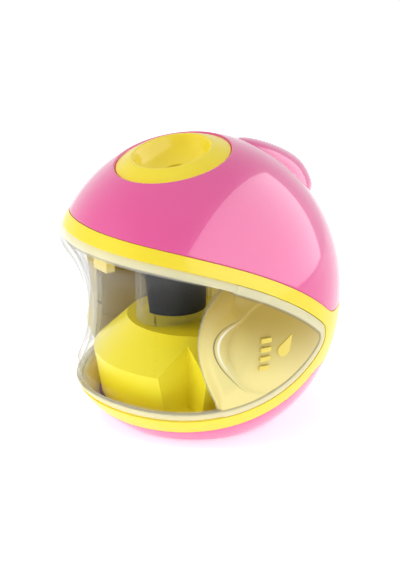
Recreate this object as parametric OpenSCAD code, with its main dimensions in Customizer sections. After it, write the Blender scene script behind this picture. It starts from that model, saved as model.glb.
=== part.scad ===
// Battery pencil sharpener with a round two-colour body and a clear visor that is its shavings tub.
// Origin: on the table, under the middle of the object. +Z is up and -Y is the front, where the visor is.
// Pieces are drawn about the body's upright axis, with heights named *_z above its widest ring, and
// placed() then puts them on the table.

/* [Body] */
// Diameter of the body at its widest ring
body_d = 90; // [86:0.5:96]
// Height of the dome above the widest ring
dome_h = 47.8; // [46:0.1:50]
// Depth of the flat base below the widest ring
base_h = 40.6; // [39.5:0.1:42]
// Width of the flat ring of the base round its cap
base_rim = 1.57; // [1.2:0.01:2.2]
// Fullness of the lower half, where 2 is a plain ellipse
base_full = 2.12; // [2.05:0.01:2.3]
// Wall of the coloured shells
shell_t = 2.2; // [1.8:0.1:2.6]
// Height of the rubber feet below the base
foot_h = 1; // [0.6:0.1:2]

/* [Seams] */
// How far the upper shell's edge at the front lies below the top of the dome
brow_drop = 21.9; // [20.2:0.2:24]
// Radius of the curve of the upper shell's edge, seen from the side
brow_r = 119; // [105:1:140]
// Height of the upper shell's edge at the back
belt_top_z = -3; // [-5:0.5:0]
// How far back of the middle the upper edge levels out
brow_run = 24.3; // [22:0.1:27]
// Radius that eases the upper edge into its level stretch
brow_ease = 12; // [6:0.5:16]
// How far the lower shell's edge at the front stands above the base
chin_up = 4.6; // [2.6:0.1:4.6]
// Radius of the curve of the lower shell's edge, seen from the side
chin_r = 78; // [60:0.5:90]
// Height of the lower shell's edge at the back
belt_low_z = -20; // [-22:0.5:-18]

/* [Visor tub] */
// Width of the yellow rim above the visor
rim_top = 4.2; // [3:0.1:6]
// Width of the yellow rim below the visor
rim_low = 5.3; // [4:0.1:6]
// Radius of the visor's rear corners
visor_corner = 6; // [4:0.5:8]
// Wall of the clear tub
tub_t = 2.2; // [1.6:0.1:2.6]
// Radius of the window at its waist
waist_r = 33.2; // [32.5:0.1:35]
// Height of the window's waist, below the widest ring
waist_z = -7; // [-9:0.5:-5]
// Radius of the hollow curve at the waist
waist_curve = 38; // [30:1:50]
// Radius of the chin's roll
chin_roll = 9.4; // [8.5:0.1:10]
// Radius of the curved edge between window and side wing
wing_edge_r = 59; // [50:1:70]
// Angle from the front at which each wing's face leaves the window's round
wing_turn = 35; // [30:1:40]
// Radius of the finger dish on each wing
dish_r = 16.6; // [12:0.2:17]
// Depth of the finger dish
dish_deep = 0.8; // [0.4:0.1:1]
// How far the tub is drawn forward to come off
tub_pull = 66; // [60:1:80]

/* [Pencil funnel] */
// Tilt of the funnel's face towards the front
funnel_tilt = 12; // [6:1:14]
// Diameter of the yellow bezel
bezel_d = 35.5; // [34:0.5:38]
// How far the bezel's edge lies below the curve of the dome
bezel_sunk = 0.5; // [0.2:0.1:0.8]
// Diameter of the bowl inside the bezel
bowl_d = 24; // [22:0.5:26]
// How far the bezel rises from its edge to the bowl
bezel_rise = 2.3; // [1.5:0.1:3]
// Diameter of the pencil's way in
pencil_bore_d = 8.6; // [8:0.1:9]
// How far a pencil presses the funnel down
press_travel = 1.5; // [1:0.1:1.8]

/* [Cutter] */
// Diameter of the cutter block
cutter_d = 20; // [18:0.5:21]
// Height of the cutter block
cutter_len = 20; // [19:0.5:21]
// Room between the cutter block and the gear deck
cutter_room = 4.5; // [4:0.1:5]
// Angle of a sharpened pencil point
point_angle = 23; // [20:0.5:24]
// Wall of the clear guard round the cutter
guard_t = 1.2; // [1:0.1:1.6]
// How far the guard reaches below the cutter block at its middle
guard_drop = 1; // [0.8:0.1:1.2]

/* [Drive] */
// Tooth size of all gears
gear_module = 1; // [0.95:0.01:1.05]
// Teeth of the gear on the cutter's spindle
spindle_teeth = 28; // [26:1:30]
// Teeth of the small half of the middle gear
small_teeth = 8; // [8:1:9]
// Teeth of the large half of the middle gear
large_teeth = 20; // [18:1:20]
// Teeth of the motor's pinion
pinion_teeth = 8; // [8:1:9]
// Room between the gearbox cover and the level of the funnel's edge
funnel_room = 12.1; // [11.9:0.1:12.6]
// Thickness of the gearbox plates
plate_t = 1.6; // [1.4:0.1:2]
// Room for the gears between deck and cover
gear_room = 7.5; // [7.2:0.1:8]
// Diameter of the motor can
motor_d = 20; // [18:0.5:21]
// Thickness of the motor can across its flats
motor_flat = 15.4; // [14:0.2:16]
// Length of the motor can
motor_len = 25; // [22:0.5:27]

/* [Battery bay] */
// Diameter of a cell, size AAA
cell_d = 10.5; // [10:0.1:10.6]
// Length of a cell with its nub
cell_len = 44.5; // [43:0.1:44.6]
// Diameter of the twist-off cap in the base
cap_d = 49; // [48.6:0.1:49.4]
// How far the cap twists to come free
cap_twist = 32; // [30:1:40]

/* [Hidden] */

$fn = 96;
far = 200;                 // longer than anything here
fit = 0.05;                // radial room of a running fit
gap = 0.1;                 // room between pieces that lie side by side
slip = 0.4;                // room round a piece that comes off
body_r = body_d / 2;
// Depth of the lower half if the base didn't cut it flat
low_h = base_h / pow(1 - pow((cap_d / 2 + base_rim) / body_r, base_full), 1 / base_full);
brow_z = dome_h - brow_drop;
chin_z = chin_up - base_h;
ring_h = foot_h + base_h;
lip_z = 17.5;              // the tub's lip, its front-most place, is at this height

// ---- Curves of the body seen from the side, as [y, z] ----
function mid_arc(p, q, r, s) =
    let (m = (p + q) / 2, d = q - p, h = sqrt(r * r - d * d / 4)) m + s * h * [-d.y, d.x] / norm(d);
function circles_meet(p, rp, q, rq, s) =
    let (d = norm(q - p), u = (q - p) / d, x = (d * d + rp * rp - rq * rq) / (2 * d))
    p + x * u + s * sqrt(rp * rp - x * x) * [-u.y, u.x];
function unit(v) = v / norm(v);
function arc(c, r, a, b, n) = [for (i = [0 : n]) let (t = a + (b - a) * i / n) c + r * [cos(t), sin(t)]];
function side_r(z, off) =
    let (a = body_r - off, c = (z < 0 ? low_h : dome_h) - off, n = z < 0 ? base_full : 2)
    a * pow(1 - pow(abs(z) / c, n), 1 / n);
// How deep the inside of the body's lower half reaches at radius r
function side_depth(r, off) = (low_h - off) * pow(1 - pow(r / (body_r - off), base_full), 1 / base_full);

brow_front = [-side_r(brow_z, 0), brow_z];
brow_c = mid_arc(brow_front, [brow_run, belt_top_z], brow_r, -1);
chin_front = [-side_r(chin_z, 0), chin_z];
chin_run = 19;             // where the lower edge levels out, back of the middle
chin_c = mid_arc(chin_front, [chin_run, belt_low_z], chin_r, 1);
visor_top_r = brow_r - rim_top;
visor_low_r = chin_r - rim_low;
corner_c = circles_meet(brow_c, visor_top_r - visor_corner, chin_c, visor_low_r - visor_corner, -1);
wing_edge_c = [41.4, -7.5];
wing_start = 4;              // clear of the line where the wing's plane touches the window's round
dish_c = [-0.4, -5.9];

// ---- Places ----
middle = (body_r - side_r(lip_z, 0)) / 2;
seat_n = [0, -sin(funnel_tilt), cos(funnel_tilt)];
seat_reach = norm([body_r * sin(funnel_tilt), dome_h * cos(funnel_tilt)]);
seat_touch = [0, -pow(body_r, 2) * sin(funnel_tilt), pow(dome_h, 2) * cos(funnel_tilt)] / seat_reach;
seat_curve = pow(body_r * dome_h, 2) / pow(seat_reach, 3);
bezel_r = bezel_d / 2;
seat_sag = seat_curve - sqrt(pow(seat_curve, 2) - pow(bezel_r, 2));
seat_c = seat_touch - (bezel_sunk + seat_sag) * seat_n;
axis_y = seat_c.y;         // the pencil, cutter and spindle share this upright axis
cover_top = seat_c.z - funnel_room;
cover_z = cover_top - plate_t;
deck_top = cover_z - gear_room;
deck_z = deck_top - plate_t;
gear_r = gear_module * spindle_teeth / 2;
motor_r = motor_d / 2;
gear_slack = 0.1;          // extra centre distance that gives the teeth backlash
middle_y = axis_y + gear_r + gear_module * small_teeth / 2 + gear_slack;
motor_y = middle_y + gear_module * (large_teeth + pinion_teeth) / 2 + gear_slack;
throat_r = pencil_bore_d / 2;
spindle_r = throat_r + 1.7;
block_r = cutter_d / 2;
guard_r = block_r + 0.9 + guard_t;
roof_r = visor_top_r + slip;
roof_t = 2;
bulkhead_y = 12;
bulkhead_w = body_d - 18;
cutter_z = deck_z - cutter_room - cutter_len;
chute_top_r = 21;
chute_top_z = cutter_z - 4.1;
chute_t = 1.8;
ledge_t = 1.6;
cap_r = cap_d / 2;
cap_t = 2;
cell_r = cell_d / 2;
cell_y = cell_r + 0.05;
cell_z = -base_h + shell_t + cell_r + 1.4;
spring_room = 1.9;
plate_thin = 0.4;          // the spring-steel contact plates
bay_half = (cell_len + spring_room) / 2 + plate_thin;
bay_side = 2 * cell_r + 0.2;
bay_wall = 1;
bay_roof_z = cell_z + cell_r + 0.6;
bay_corner = norm([bay_half + bay_wall, bay_side + bay_wall]);
chute_foot_r = bay_corner + 0.16 + chute_t;
chute_foot = [chute_foot_r, -side_depth(chute_foot_r + 2, shell_t)];
chute_edge = [waist_r - 1.7, waist_z - 12];
post_r = 2.5;
lug_r = 4.7;
screw_r = 1.2;
head_r = 2.2;
head_t = 1.4;
shell_boss_r = 3.2;
shell_boss_turn = 42.8;     // the upper shell's bosses stand left and right at this angle
shell_boss = (body_r - 8.2) * [cos(shell_boss_turn), sin(shell_boss_turn)];
base_boss_turn = 48;       // angle between the base's three bosses
base_boss_y = body_r - 12;
stem_r = throat_r + 1.7;
stem_foot = cover_top + 0.4;
spindle_top = cover_top - 1.2;
collar_h = 1.6;
coil_wire = 0.5;
bowl_r = bowl_d / 2;
lip_h = -shell_t - 1.4;     // the lip that keeps the funnel in lies this far below its edge
block_top = cutter_z + cutter_len;
socket_deep = 3;
flange_z = cover_top + 5;
flange_r = stem_r + 2;
flange_t = 1.6;
finger_x = 10.5;
axle_r = 1.5;
shaft_r = 1;
small_h = 3.5;
large_h = 3;
motor_boss_r = 3;
motor_foot = deck_z - motor_len;
end_cap_t = 3;
motor_screw_y = 6;          // the motor's screws stand this far in front and behind
blade_turn = 190;          // the flat with the blade faces left
blade_hole_y = 4.6;
post_reach = gear_r + 5.24;
post_turn = 36.3;
front_post = post_reach * [cos(post_turn), sin(post_turn)];
cover_posts = [for (s = [1, -1], p = [[front_post.x, axis_y + front_post.y], [motor_r - 2, motor_y - 2.4]])
    [s * p.x, p.y]];
tray_post_x = 15;
deck_posts = [[16, 4], [-16, 4]];
floor_t = 1.6;
notch_x = 17.9;
notch_back = -15;
latch_w = 7;
latch_y = -waist_r - 1.3;
latch_z = waist_z + 19;
drop_c = [1.4, -7.2];
drop_r = 2.3;
bars_c = dish_c - [4.6, 1.6];
tray_foot_z = -side_depth(bay_corner + gap, shell_t);
switch_x = 8.5;
switch_len = 7.5;
switch_top = cover_top + 2.3;
lever_x = 15.3;
lever_z = flange_z - 0.35;
lever_t = 0.6;
lever_pin_r = 0.4;
cheek_in = 1.4;            // the lever's cheeks stand between these distances from the middle
cheek_out = 2.4;
spoiler_r = 16;
spoiler_steps = [[-far, 0], [-1.4, 0], [-0.6, 2], [-0.9, 3.5], [-1.8, 5.6], [-3.1, 7.6], [-4.8, 9.6],
                 [-8.9, 12.5], [-12.9, 14.6], [-far, 15.6]];
spoiler_foot = dome_h - 21.4;
spoiler_proud = 4.2;       // how far the spoiler stands out at its foot
spoiler_y = side_r(spoiler_foot, 0) + spoiler_proud - spoiler_r;

// ---- Helpers ----
module placed() translate([0, -middle, ring_h]) children();
module side_prism() rotate([90, 0, 90]) translate([0, 0, -far / 2]) linear_extrude(far) children();
module on_axis(y, z) translate([0, y, z]) children();
module seat() translate(seat_c) rotate([funnel_tilt, 0, 0]) children();
module disc(r, h) cylinder(r = r, h = h);
module disc_to(r) translate([0, 0, -far / 2]) disc(r, far);
module slab(x0, x1, y0, y1, z0, z1) translate([x0, y0, z0]) cube([x1 - x0, y1 - y0, z1 - z0]);

// The round body as a solid, with its outline moved inwards by off
module body_solid(off = 0) {
    low = [for (i = [0 : 14]) let (z = -(base_h - off) * (1 - i / 14)) [side_r(z, off), z]];
    top = [for (a = [6 : 6 : 84]) [(body_r - off) * cos(a), (dome_h - off) * sin(a)]];
    rotate_extrude() polygon(concat([[0, -(base_h - off)]], low, top, [[0, dome_h - off]]));
}
module body_wall(off, t) difference() { body_solid(off); body_solid(off + t); }

// All that lies under the upper shell's edge, seen from the side
module below_brow(g = 0) {
    level = belt_top_z + g;
    r = brow_r + g;
    ease_z = level + brow_ease;
    ease_y = brow_c.x + sqrt(pow(r + brow_ease, 2) - pow(ease_z - brow_c.y, 2));
    start = atan2(brow_c.y - ease_z, brow_c.x - ease_y);
    translate(brow_c) circle(r);
    translate([-far / 2, level - far / 2]) square([far, far / 2]);
    polygon(concat(arc([ease_y, ease_z], brow_ease, start, -90, 6),
                   [[ease_y, level - 2], [ease_y - 2 * brow_ease, level - 2]]));
}
// All that lies above the lower shell's edge, seen from the side
module above_chin(g = 0) {
    translate(chin_c) circle(chin_r + g);
    translate([-far / 2, belt_low_z - g]) square([far, far / 2]);
}
// The visor's outline, seen from the side, grown by g
module visor_outline(g = 0) {
    top_pt = corner_c + (visor_corner + g) * unit(corner_c - brow_c);
    low_pt = corner_c + (visor_corner + g) * unit(corner_c - chin_c);
    a = atan2(low_pt.y - corner_c.y, low_pt.x - corner_c.x);
    b = atan2(top_pt.y - corner_c.y, top_pt.x - corner_c.x);
    intersection() {
        translate(brow_c) circle(visor_top_r + g);
        translate(chin_c) circle(visor_low_r + g);
        polygon(concat([[-far / 2, -far / 2], [low_pt.x, -far / 2]],
                       arc(corner_c, visor_corner + g, a, b, 8), [[top_pt.x, far / 2], [-far / 2, far / 2]]));
    }
}
// What lies in front of the wings' curved edge, seen from the side
module window_zone(g = 0) difference() {
    translate([-far / 2, -far / 2]) square([far / 2 + wing_edge_c.x, far]);
    translate(wing_edge_c) circle(wing_edge_r - g);
}
// The window's outline, waisted above and rolled at the chin, from u0 outwards
module window_outline(off = 0, u0 = 0) {
    roll_c = [waist_r - 5.7, waist_z - 16.5];
    difference() {
        translate([u0, roll_c.y]) square([body_r - u0, dome_h - roll_c.y]);
        translate([waist_r + waist_curve, waist_z]) circle(waist_curve + off);
    }
    translate([u0, roll_c.y - chin_roll]) square([roll_c.x - u0, chin_roll]);
    intersection() {
        translate(roll_c) circle(chin_roll - off);
        translate([0, -far / 2]) square(far);
    }
}
module window_solid(off = 0) rotate_extrude() window_outline(off);
// What lies outside the wings' faces, which run straight on from the window's round
module beyond_wings(off = 0) {
    for (s = [0, 1]) mirror([s, 0, 0]) rotate([0, 0, wing_turn - 90]) rotate([90, 0, 0])
        translate([0, 0, -far]) linear_extrude(far - wing_start) difference() {
            translate([0, -body_r]) square([far, body_r + dome_h]);
            window_outline(off);
        }
}
// Spiral of round wire: mean radius r, from z = 0 up to h
module coil(r, wire, h, turns) {
    n = 14 * turns;
    m = 8;
    lead = (h - wire) / turns;
    pts = [for (i = [0 : n], k = [0 : m - 1])
        let (a = 360 * i / 14, b = 360 * k / m, q = r + wire / 2 * cos(b))
        [q * cos(a), q * sin(a), wire / 2 + lead * i / 14 + wire / 2 * sin(b)]];
    skin = [for (i = [0 : n - 1], k = [0 : m - 1])
        let (k2 = (k + 1) % m) [i * m + k, (i + 1) * m + k, (i + 1) * m + k2, i * m + k2]];
    ends = [[for (k = [0 : m - 1]) k], [for (k = [m - 1 : -1 : 0]) n * m + k]];
    polyhedron(pts, concat(skin, ends), convexity = 8);
}

// Gear blank outline: straight-flanked teeth with one tooth on the X axis
module gear_outline(teeth) {
    pitch = gear_module * teeth / 2;
    tip = pitch + 0.8 * gear_module;
    root = pitch - 1.1 * gear_module;
    step = 360 / teeth;
    polygon([for (i = [0 : teeth - 1], p = [[root, -0.28], [pitch, -0.205], [tip, -0.1],
                                           [tip, 0.1], [pitch, 0.205], [root, 0.28]])
        p.x * [cos((i + p.y) * step), sin((i + p.y) * step)]]);
}
module gear(teeth, h, turn) rotate(turn) linear_extrude(h) gear_outline(teeth);

module screw(len) {
    disc(head_r, head_t);
    disc(screw_r, head_t + len);
}
module at_shell_bosses() for (s = [-1, 1]) translate([s * shell_boss.x, shell_boss.y, 0]) children();
module at_base_bosses() for (i = [-1 : 1])
    rotate(i * base_boss_turn) translate([0, base_boss_y, 0]) children();

// ---- Shells ----
module upper_shell() color("hotpink") placed() {
    difference() {
        body_wall(0, shell_t);
        side_prism() below_brow(gap / 2);
        seat() disc_to(bezel_r + slip);
        spoiler_pegs(gap / 2);
    }
    difference() {
        intersection() {
            at_shell_bosses() translate([0, 0, belt_top_z + gap]) disc(shell_boss_r, dome_h);
            body_solid(shell_t / 2);
        }
        at_shell_bosses() translate([0, 0, belt_top_z]) disc(screw_r, 12);
    }
}

module belt_frame() color("gold") placed() {
    difference() {
        intersection() {
            body_wall(0, shell_t);
            side_prism() intersection() { below_brow(-gap / 2); above_chin(-gap / 2); }
        }
        side_prism() visor_outline(slip / 2);
    }
    // lugs that the shells screw to
    difference() {
        intersection() {
            body_solid(shell_t / 2);
            union() {
                at_shell_bosses() translate([0, 0, belt_top_z - plate_t]) disc(lug_r, plate_t);
                for (s = [-1, 1]) translate([s * shell_boss.x, shell_boss.y, belt_top_z - plate_t])
                    rotate(90 - s * 55) translate([0, -lug_r / 2, 0]) cube([body_r, lug_r, plate_t]);
                at_base_bosses() translate([-lug_r, -lug_r, belt_low_z + gap]) cube([2 * lug_r, body_r, 3]);
            }
        }
        at_shell_bosses() translate([0, 0, belt_top_z - plate_t]) disc(screw_r, plate_t);
        at_base_bosses() translate([0, 0, belt_low_z]) disc(screw_r, base_h);
    }
    // ledge round the inside that carries the chute and the chassis
    intersection() {
        difference() {
            body_solid(shell_t / 2);
            disc_to(chute_foot.x - chute_t / 2);
            side_prism() visor_outline(slip / 2);
        }
        slab(-far, far, -far, far, chute_foot.y - ledge_t, chute_foot.y);
        side_prism() above_chin(-gap / 2);
    }
}

module lower_shell() color("hotpink") placed() {
    difference() {
        union() {
            difference() {
                body_solid(0);
                body_solid(shell_t);
                side_prism() above_chin(gap / 2);
            }
            intersection() {
                at_base_bosses() translate([0, 0, -base_h]) disc(shell_boss_r, base_h + belt_low_z);
                body_solid(shell_t / 2);
            }
        }
        at_base_bosses() {
            translate([0, 0, -base_h]) disc(head_r + gap, base_h + belt_low_z - 4);
            translate([0, 0, -base_h]) disc(screw_r, base_h);
        }
        translate([0, 0, -base_h - 1]) disc(cap_r + gap, shell_t + 2);
        rotate(cap_twist) cap_tabs(slip / 2, -base_h - 1, shell_t + 2);
    }
}

module spoiler_pegs(g) for (s = [-1, 1]) translate([s * 7, spoiler_y + 7, spoiler_foot + 3]) disc(1.6 + g, 7);
module rear_spoiler() color("hotpink") placed() {
    difference() {
        on_axis(spoiler_y, 0) rotate_extrude()
            polygon([for (p = spoiler_steps) [max(0, spoiler_r + p.x), spoiler_foot + p.y]]);
        body_solid(0);
    }
    difference() {
        spoiler_pegs(0);
        body_solid(shell_t + 1);
    }
}

// ---- Pencil funnel ----
module pencil_funnel() color("gold") placed() {
    difference() {
        seat() rotate_extrude()
            polygon([[0, -5.6], [stem_r, -5.6], [bowl_r - 2, -3], [bowl_r, 0.3], [bezel_r - 1.2, -1.6],
                     [bezel_r - 1.2, lip_h - 0.8], [bezel_r + 1, lip_h - 0.8], [bezel_r + 1, lip_h],
                     [bezel_r, lip_h], [bezel_r, -0.4],
                     [bezel_r - 0.5, 0], [bezel_r - 2.6, bezel_rise - 1], [bowl_r + 0.8, bezel_rise],
                     [bowl_r - 0.4, bezel_rise], [bowl_r - 2, -1.2], [throat_r, -4.2], [0, -4.2]]);
        on_axis(axis_y, 0) disc(throat_r, far);
    }
    difference() {
        union() {
            on_axis(axis_y, stem_foot) disc(stem_r, seat_c.z - 4.6 - stem_foot);
            on_axis(axis_y, flange_z) disc(flange_r, flange_t);
            slab(0, finger_x, axis_y - 2, axis_y + 2, flange_z, flange_z + flange_t);
        }
        on_axis(axis_y, 0) disc(throat_r, far);
    }
}

module funnel_spring() color("silver") placed()
    on_axis(axis_y, cover_top + collar_h) coil(stem_r + 1.1, coil_wire, flange_z - cover_top - collar_h, 3);

// ---- Gearbox ----
module plate_outline(r, w, y) {
    translate([0, axis_y]) circle(r);
    translate([-w / 2, axis_y]) square([w, y - axis_y]);
}
module cover_outline() {
    plate_outline(gear_r + 4.5, 2 * gear_r + 8, axis_y + gear_r);
    plate_outline(motor_r, motor_d + 1, motor_y + 4.1);
}
module gear_cover() color("whitesmoke") placed() difference() {
    union() {
        intersection() {
            translate([0, 0, cover_z]) linear_extrude(plate_t) cover_outline();
            body_solid(shell_t + gap);
        }
        on_axis(axis_y, cover_top) disc(flange_r, collar_h);
        for (p = cover_posts) translate([p.x, p.y, deck_top]) disc(post_r, gear_room);
    }
    on_axis(axis_y, 0) disc(stem_r + fit, far);
    on_axis(middle_y, 0) disc(axle_r, far);
    for (p = cover_posts) translate([p.x, p.y, 0]) disc(screw_r, far);
    spoiler_pegs(slip);
}

module gear_deck() color("whitesmoke") placed() {
    difference() {
        intersection() {
            translate([0, 0, deck_z]) linear_extrude(plate_t)
                plate_outline(gear_r + 9, 2 * gear_r, motor_y + motor_r);
            body_solid(shell_t + gap);
        }
        side_prism() roof_disc(roof_t);
        on_axis(axis_y, 0) disc(spindle_r + fit, far);
        on_axis(middle_y, 0) disc(axle_r, far);
        on_axis(motor_y, 0) disc(motor_boss_r + gap, far);
        for (s = [-1, 1]) translate([0, motor_y + s * motor_screw_y, 0]) disc(screw_r, far);
        for (p = cover_posts) translate([p.x, p.y, 0]) disc(screw_r, far);
    }
    difference() {
        for (p = deck_posts) translate([p.x, p.y, 0]) disc(post_r, deck_z);
        side_prism() roof_disc(roof_t);
    }
}

module cutter_spindle() color("dimgray") placed() on_axis(axis_y, block_top - socket_deep) difference() {
    disc(spindle_r, spindle_top - block_top + socket_deep);
    translate([0, 0, -1]) disc(throat_r + 0.1, far);
}
module cutter_gear() color("white") placed() on_axis(axis_y, deck_top + gap) difference() {
    gear(spindle_teeth, small_h, 90);
    translate([0, 0, -1]) disc(spindle_r, far);
}
module middle_gear() color("white") placed() on_axis(middle_y, deck_top + gap) difference() {
    union() {
        gear(small_teeth, small_h + gap, -90 + 180 / small_teeth);
        translate([0, 0, small_h + gap]) gear(large_teeth, large_h, 90);
    }
    translate([0, 0, -1]) disc(axle_r + fit, far);
}
module middle_axle() color("silver") placed() on_axis(middle_y, deck_z) disc(axle_r, cover_top - deck_z);

// ---- Motor ----
module motor_pinion() color("goldenrod") placed() on_axis(motor_y, deck_top + gap + small_h) difference() {
    gear(pinion_teeth, large_h, -90 + 180 / pinion_teeth);
    translate([0, 0, -1]) disc(shaft_r, far);
}
module motor_shaft() color("silver") placed() on_axis(motor_y, motor_foot + 1)
    disc(shaft_r, deck_top + gap + small_h + large_h - motor_foot - 0.5);
module motor_can() color("silver") placed() difference() {
    union() {
        intersection() {
            on_axis(motor_y, motor_foot + end_cap_t) disc(motor_r, motor_len - end_cap_t);
            slab(-motor_r, motor_r, motor_y - motor_flat / 2, motor_y + motor_flat / 2, motor_foot, deck_z);
        }
        on_axis(motor_y, deck_z) disc(motor_boss_r, plate_t - 0.5);
    }
    on_axis(motor_y, 0) translate([0, 0, motor_foot]) disc(shaft_r + fit, far);
    for (s = [-1, 1]) translate([0, motor_y + s * motor_screw_y, deck_z - 4]) disc(screw_r, far);
}
module motor_end_cap() color("white") placed() {
    difference() {
        intersection() {
            on_axis(motor_y, motor_foot) disc(motor_r, end_cap_t);
            slab(-motor_r, motor_r, motor_y - motor_flat / 2, motor_y + motor_flat / 2, motor_foot, deck_z);
        }
        on_axis(motor_y, motor_foot + 0.5) disc(shaft_r + fit, far);
    }
    for (s = [-1, 1]) slab(s * 5 - 1.2, s * 5 + 1.2, motor_y + 2, motor_y + 2.5, motor_foot - 3, motor_foot);
}
module motor_screws() color("silver") placed() for (s = [-1, 1])
    translate([0, motor_y + s * motor_screw_y, deck_top]) {
        disc(head_r - 0.3, 1);
        translate([0, 0, -plate_t - 3]) disc(screw_r, plate_t + 3);
    }

// ---- Cutter ----
module block_flat(out) rotate(blade_turn) translate([0, 0, cutter_z]) rotate([0, point_angle / 2, 0])
    translate([out, -far / 2, -far / 2]) cube(far);
module point_hollow(g) on_axis(0, cutter_z - 0.6)
    cylinder(r1 = g, r2 = g + (block_top - socket_deep - cutter_z + 0.6) * tan(point_angle / 2),
             h = block_top - socket_deep - cutter_z + 0.6);
module cutter_block() color("#202022") placed() on_axis(axis_y, 0) difference() {
    translate([0, 0, cutter_z]) disc(block_r, cutter_len);
    block_flat(0.2);
    point_hollow(0.4);
    translate([0, 0, block_top - socket_deep]) disc(spindle_r, far);
    rotate(blade_turn) translate([0, 0, cutter_z]) rotate([0, point_angle / 2, 0])
        translate([-5, blade_hole_y, cutter_len / 2]) rotate([0, 90, 0]) disc(0.9, 6);
}
module cutter_blade() color("lightsteelblue") placed() on_axis(axis_y, 0) rotate(blade_turn)
    translate([0, 0, cutter_z]) rotate([0, point_angle / 2, 0]) difference() {
        slab(0.2, 1.2, -0.3, 7.6, 1.5, cutter_len - socket_deep - 2.5);
        translate([-1, blade_hole_y, cutter_len / 2]) rotate([0, 90, 0]) disc(1, 6);
    }
module blade_screw() color("silver") placed() on_axis(axis_y, 0) rotate(blade_turn)
    translate([0, 0, cutter_z]) rotate([0, point_angle / 2, 0])
    translate([0, blade_hole_y, cutter_len / 2]) rotate([0, 90, 0]) {
        translate([0, 0, 1.2]) disc(1.9, 0.8);
        translate([0, 0, -4]) disc(0.9, 5.2);
    }
module cutter_guard() color("lightcyan", 0.4) placed() on_axis(axis_y, 0) difference() {
    union() {
        translate([0, 0, cutter_z - 6]) cylinder(r1 = guard_r - 0.5, r2 = guard_r, h = deck_z - cutter_z + 6);
        translate([0, 0, deck_z - 1.4]) disc(guard_r + 1, 1.4);
    }
    translate([0, 0, cutter_z - 7])
        cylinder(r1 = guard_r - 0.5 - guard_t, r2 = guard_r - guard_t, h = deck_z - cutter_z + 8);
    translate([0, 0, cutter_z - guard_drop]) rotate([funnel_tilt, 0, 0]) translate([-far / 2, -far / 2, -far])
        cube(far);
}

// ---- Inside of the shavings space ----
// All that lies under the chassis's curved roof, seen from the side
module roof_disc(g = 0) translate(brow_c) circle(roof_r + g);
module inner_chassis() color("khaki") placed() intersection() {
    body_solid(shell_t + gap);
    union() {
        difference() {
            side_prism() difference() {
                translate(brow_c) circle(roof_r + roof_t);
                translate(brow_c) circle(roof_r);
            }
            slab(-far, far, bulkhead_y + 1, far, -far, far);
            slab(-far, far, -far, far, -far, 0);
            on_axis(axis_y, 0) disc(guard_r + 1.2, far);
        }
        difference() {
            slab(-bulkhead_w / 2, bulkhead_w / 2, bulkhead_y, bulkhead_y + roof_t, chute_foot.y, far);
            side_prism() difference() {
                square(2 * far, center = true);
                translate(brow_c) circle(roof_r + 1);
            }
        }
        difference() {
            for (s = [-1, 1])
                translate([s * (bulkhead_w / 2 - roof_t / 2) - roof_t / 2, bulkhead_y + 1, chute_foot.y])
                    cube([roof_t, body_r, far]);
            side_prism() difference() {
                square(2 * far, center = true);
                translate(brow_c) circle(roof_r + 1);
            }
        }
    }
}
module chute_outline() polygon([[0, chute_top_z], [chute_top_r, chute_top_z], chute_edge, chute_foot,
                               [0, chute_foot.y]]);
// The pocket at the chute's front right, grown by g
module chute_pocket(g) slab(notch_x - g, far, -far, notch_back + g, chute_foot.y + 2 - g, far);
module shavings_chute() color("gold") placed() difference() {
    union() {
        rotate_extrude() polygon([[0, chute_top_z], [chute_top_r, chute_top_z], chute_edge, chute_foot,
            chute_foot - [chute_t, 0], chute_edge - [chute_t, 0.6],
            [chute_top_r - 0.8, chute_top_z - chute_t], [0, chute_top_z - chute_t]]);
        intersection() {
            rotate_extrude() chute_outline();
            chute_pocket(1);
        }
    }
    slab(-far, far, bulkhead_y - gap, far, -far, far);
    chute_pocket(0);
}
module tub_latch() color("lemonchiffon") placed() difference() {
    slab(-latch_w / 2, latch_w / 2, latch_y, latch_y + 3, latch_z, far / 4);
    side_prism() difference() {
        square(2 * far, center = true);
        translate(brow_c) circle(roof_r);
    }
}

// The way the tub slides over the chute and the chassis, widened by slip
module tub_way() {
    out = [[0, chute_foot.y - 4], chute_foot + [slip, -4], chute_foot + [slip, 0], chute_edge + [slip, 0],
           [chute_edge.x + slip, chute_edge.y + 4], [0, chute_edge.y + 4]];
    rotate_extrude() polygon(out);
    rotate([90, 0, 180]) linear_extrude(far / 2) {
        polygon(out);
        mirror([1, 0]) polygon(out);
    }
    slab(-bulkhead_w / 2 - slip, bulkhead_w / 2 + slip, bulkhead_y - slip, far, -far, far);
}
module shavings_tub() color("khaki", 0.45) placed() difference() {
    intersection() {
        body_solid(0);
        side_prism() visor_outline(-slip / 2);
    }
    difference() {
        side_prism() window_zone();
        window_solid();
    }
    beyond_wings();
    intersection() {
        difference() {
            body_solid(tub_t);
            difference() {
                side_prism() window_zone(tub_t);
                window_solid(tub_t);
            }
            beyond_wings(tub_t);
        }
        side_prism() translate(chin_c) circle(visor_low_r - slip / 2 - floor_t);
    }
    tub_way();
    intersection() {
        side_prism() translate(dish_c) circle(dish_r);
        body_wall(-1, 1 + dish_deep);
    }
}
module mark_outline() {
    polygon(concat(arc(drop_c, drop_r, 150, 340, 10), [drop_c + [2.8, 4.4]]));
    for (i = [-1.5 : 1.5])
        translate(bars_c + [0, 3 * i]) square([3.2, 1.4], center = true);
}
module grip_marks() color("gold") placed() intersection() {
    body_wall(dish_deep - 0.5, 0.5);
    side_prism() mark_outline();
}

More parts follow.
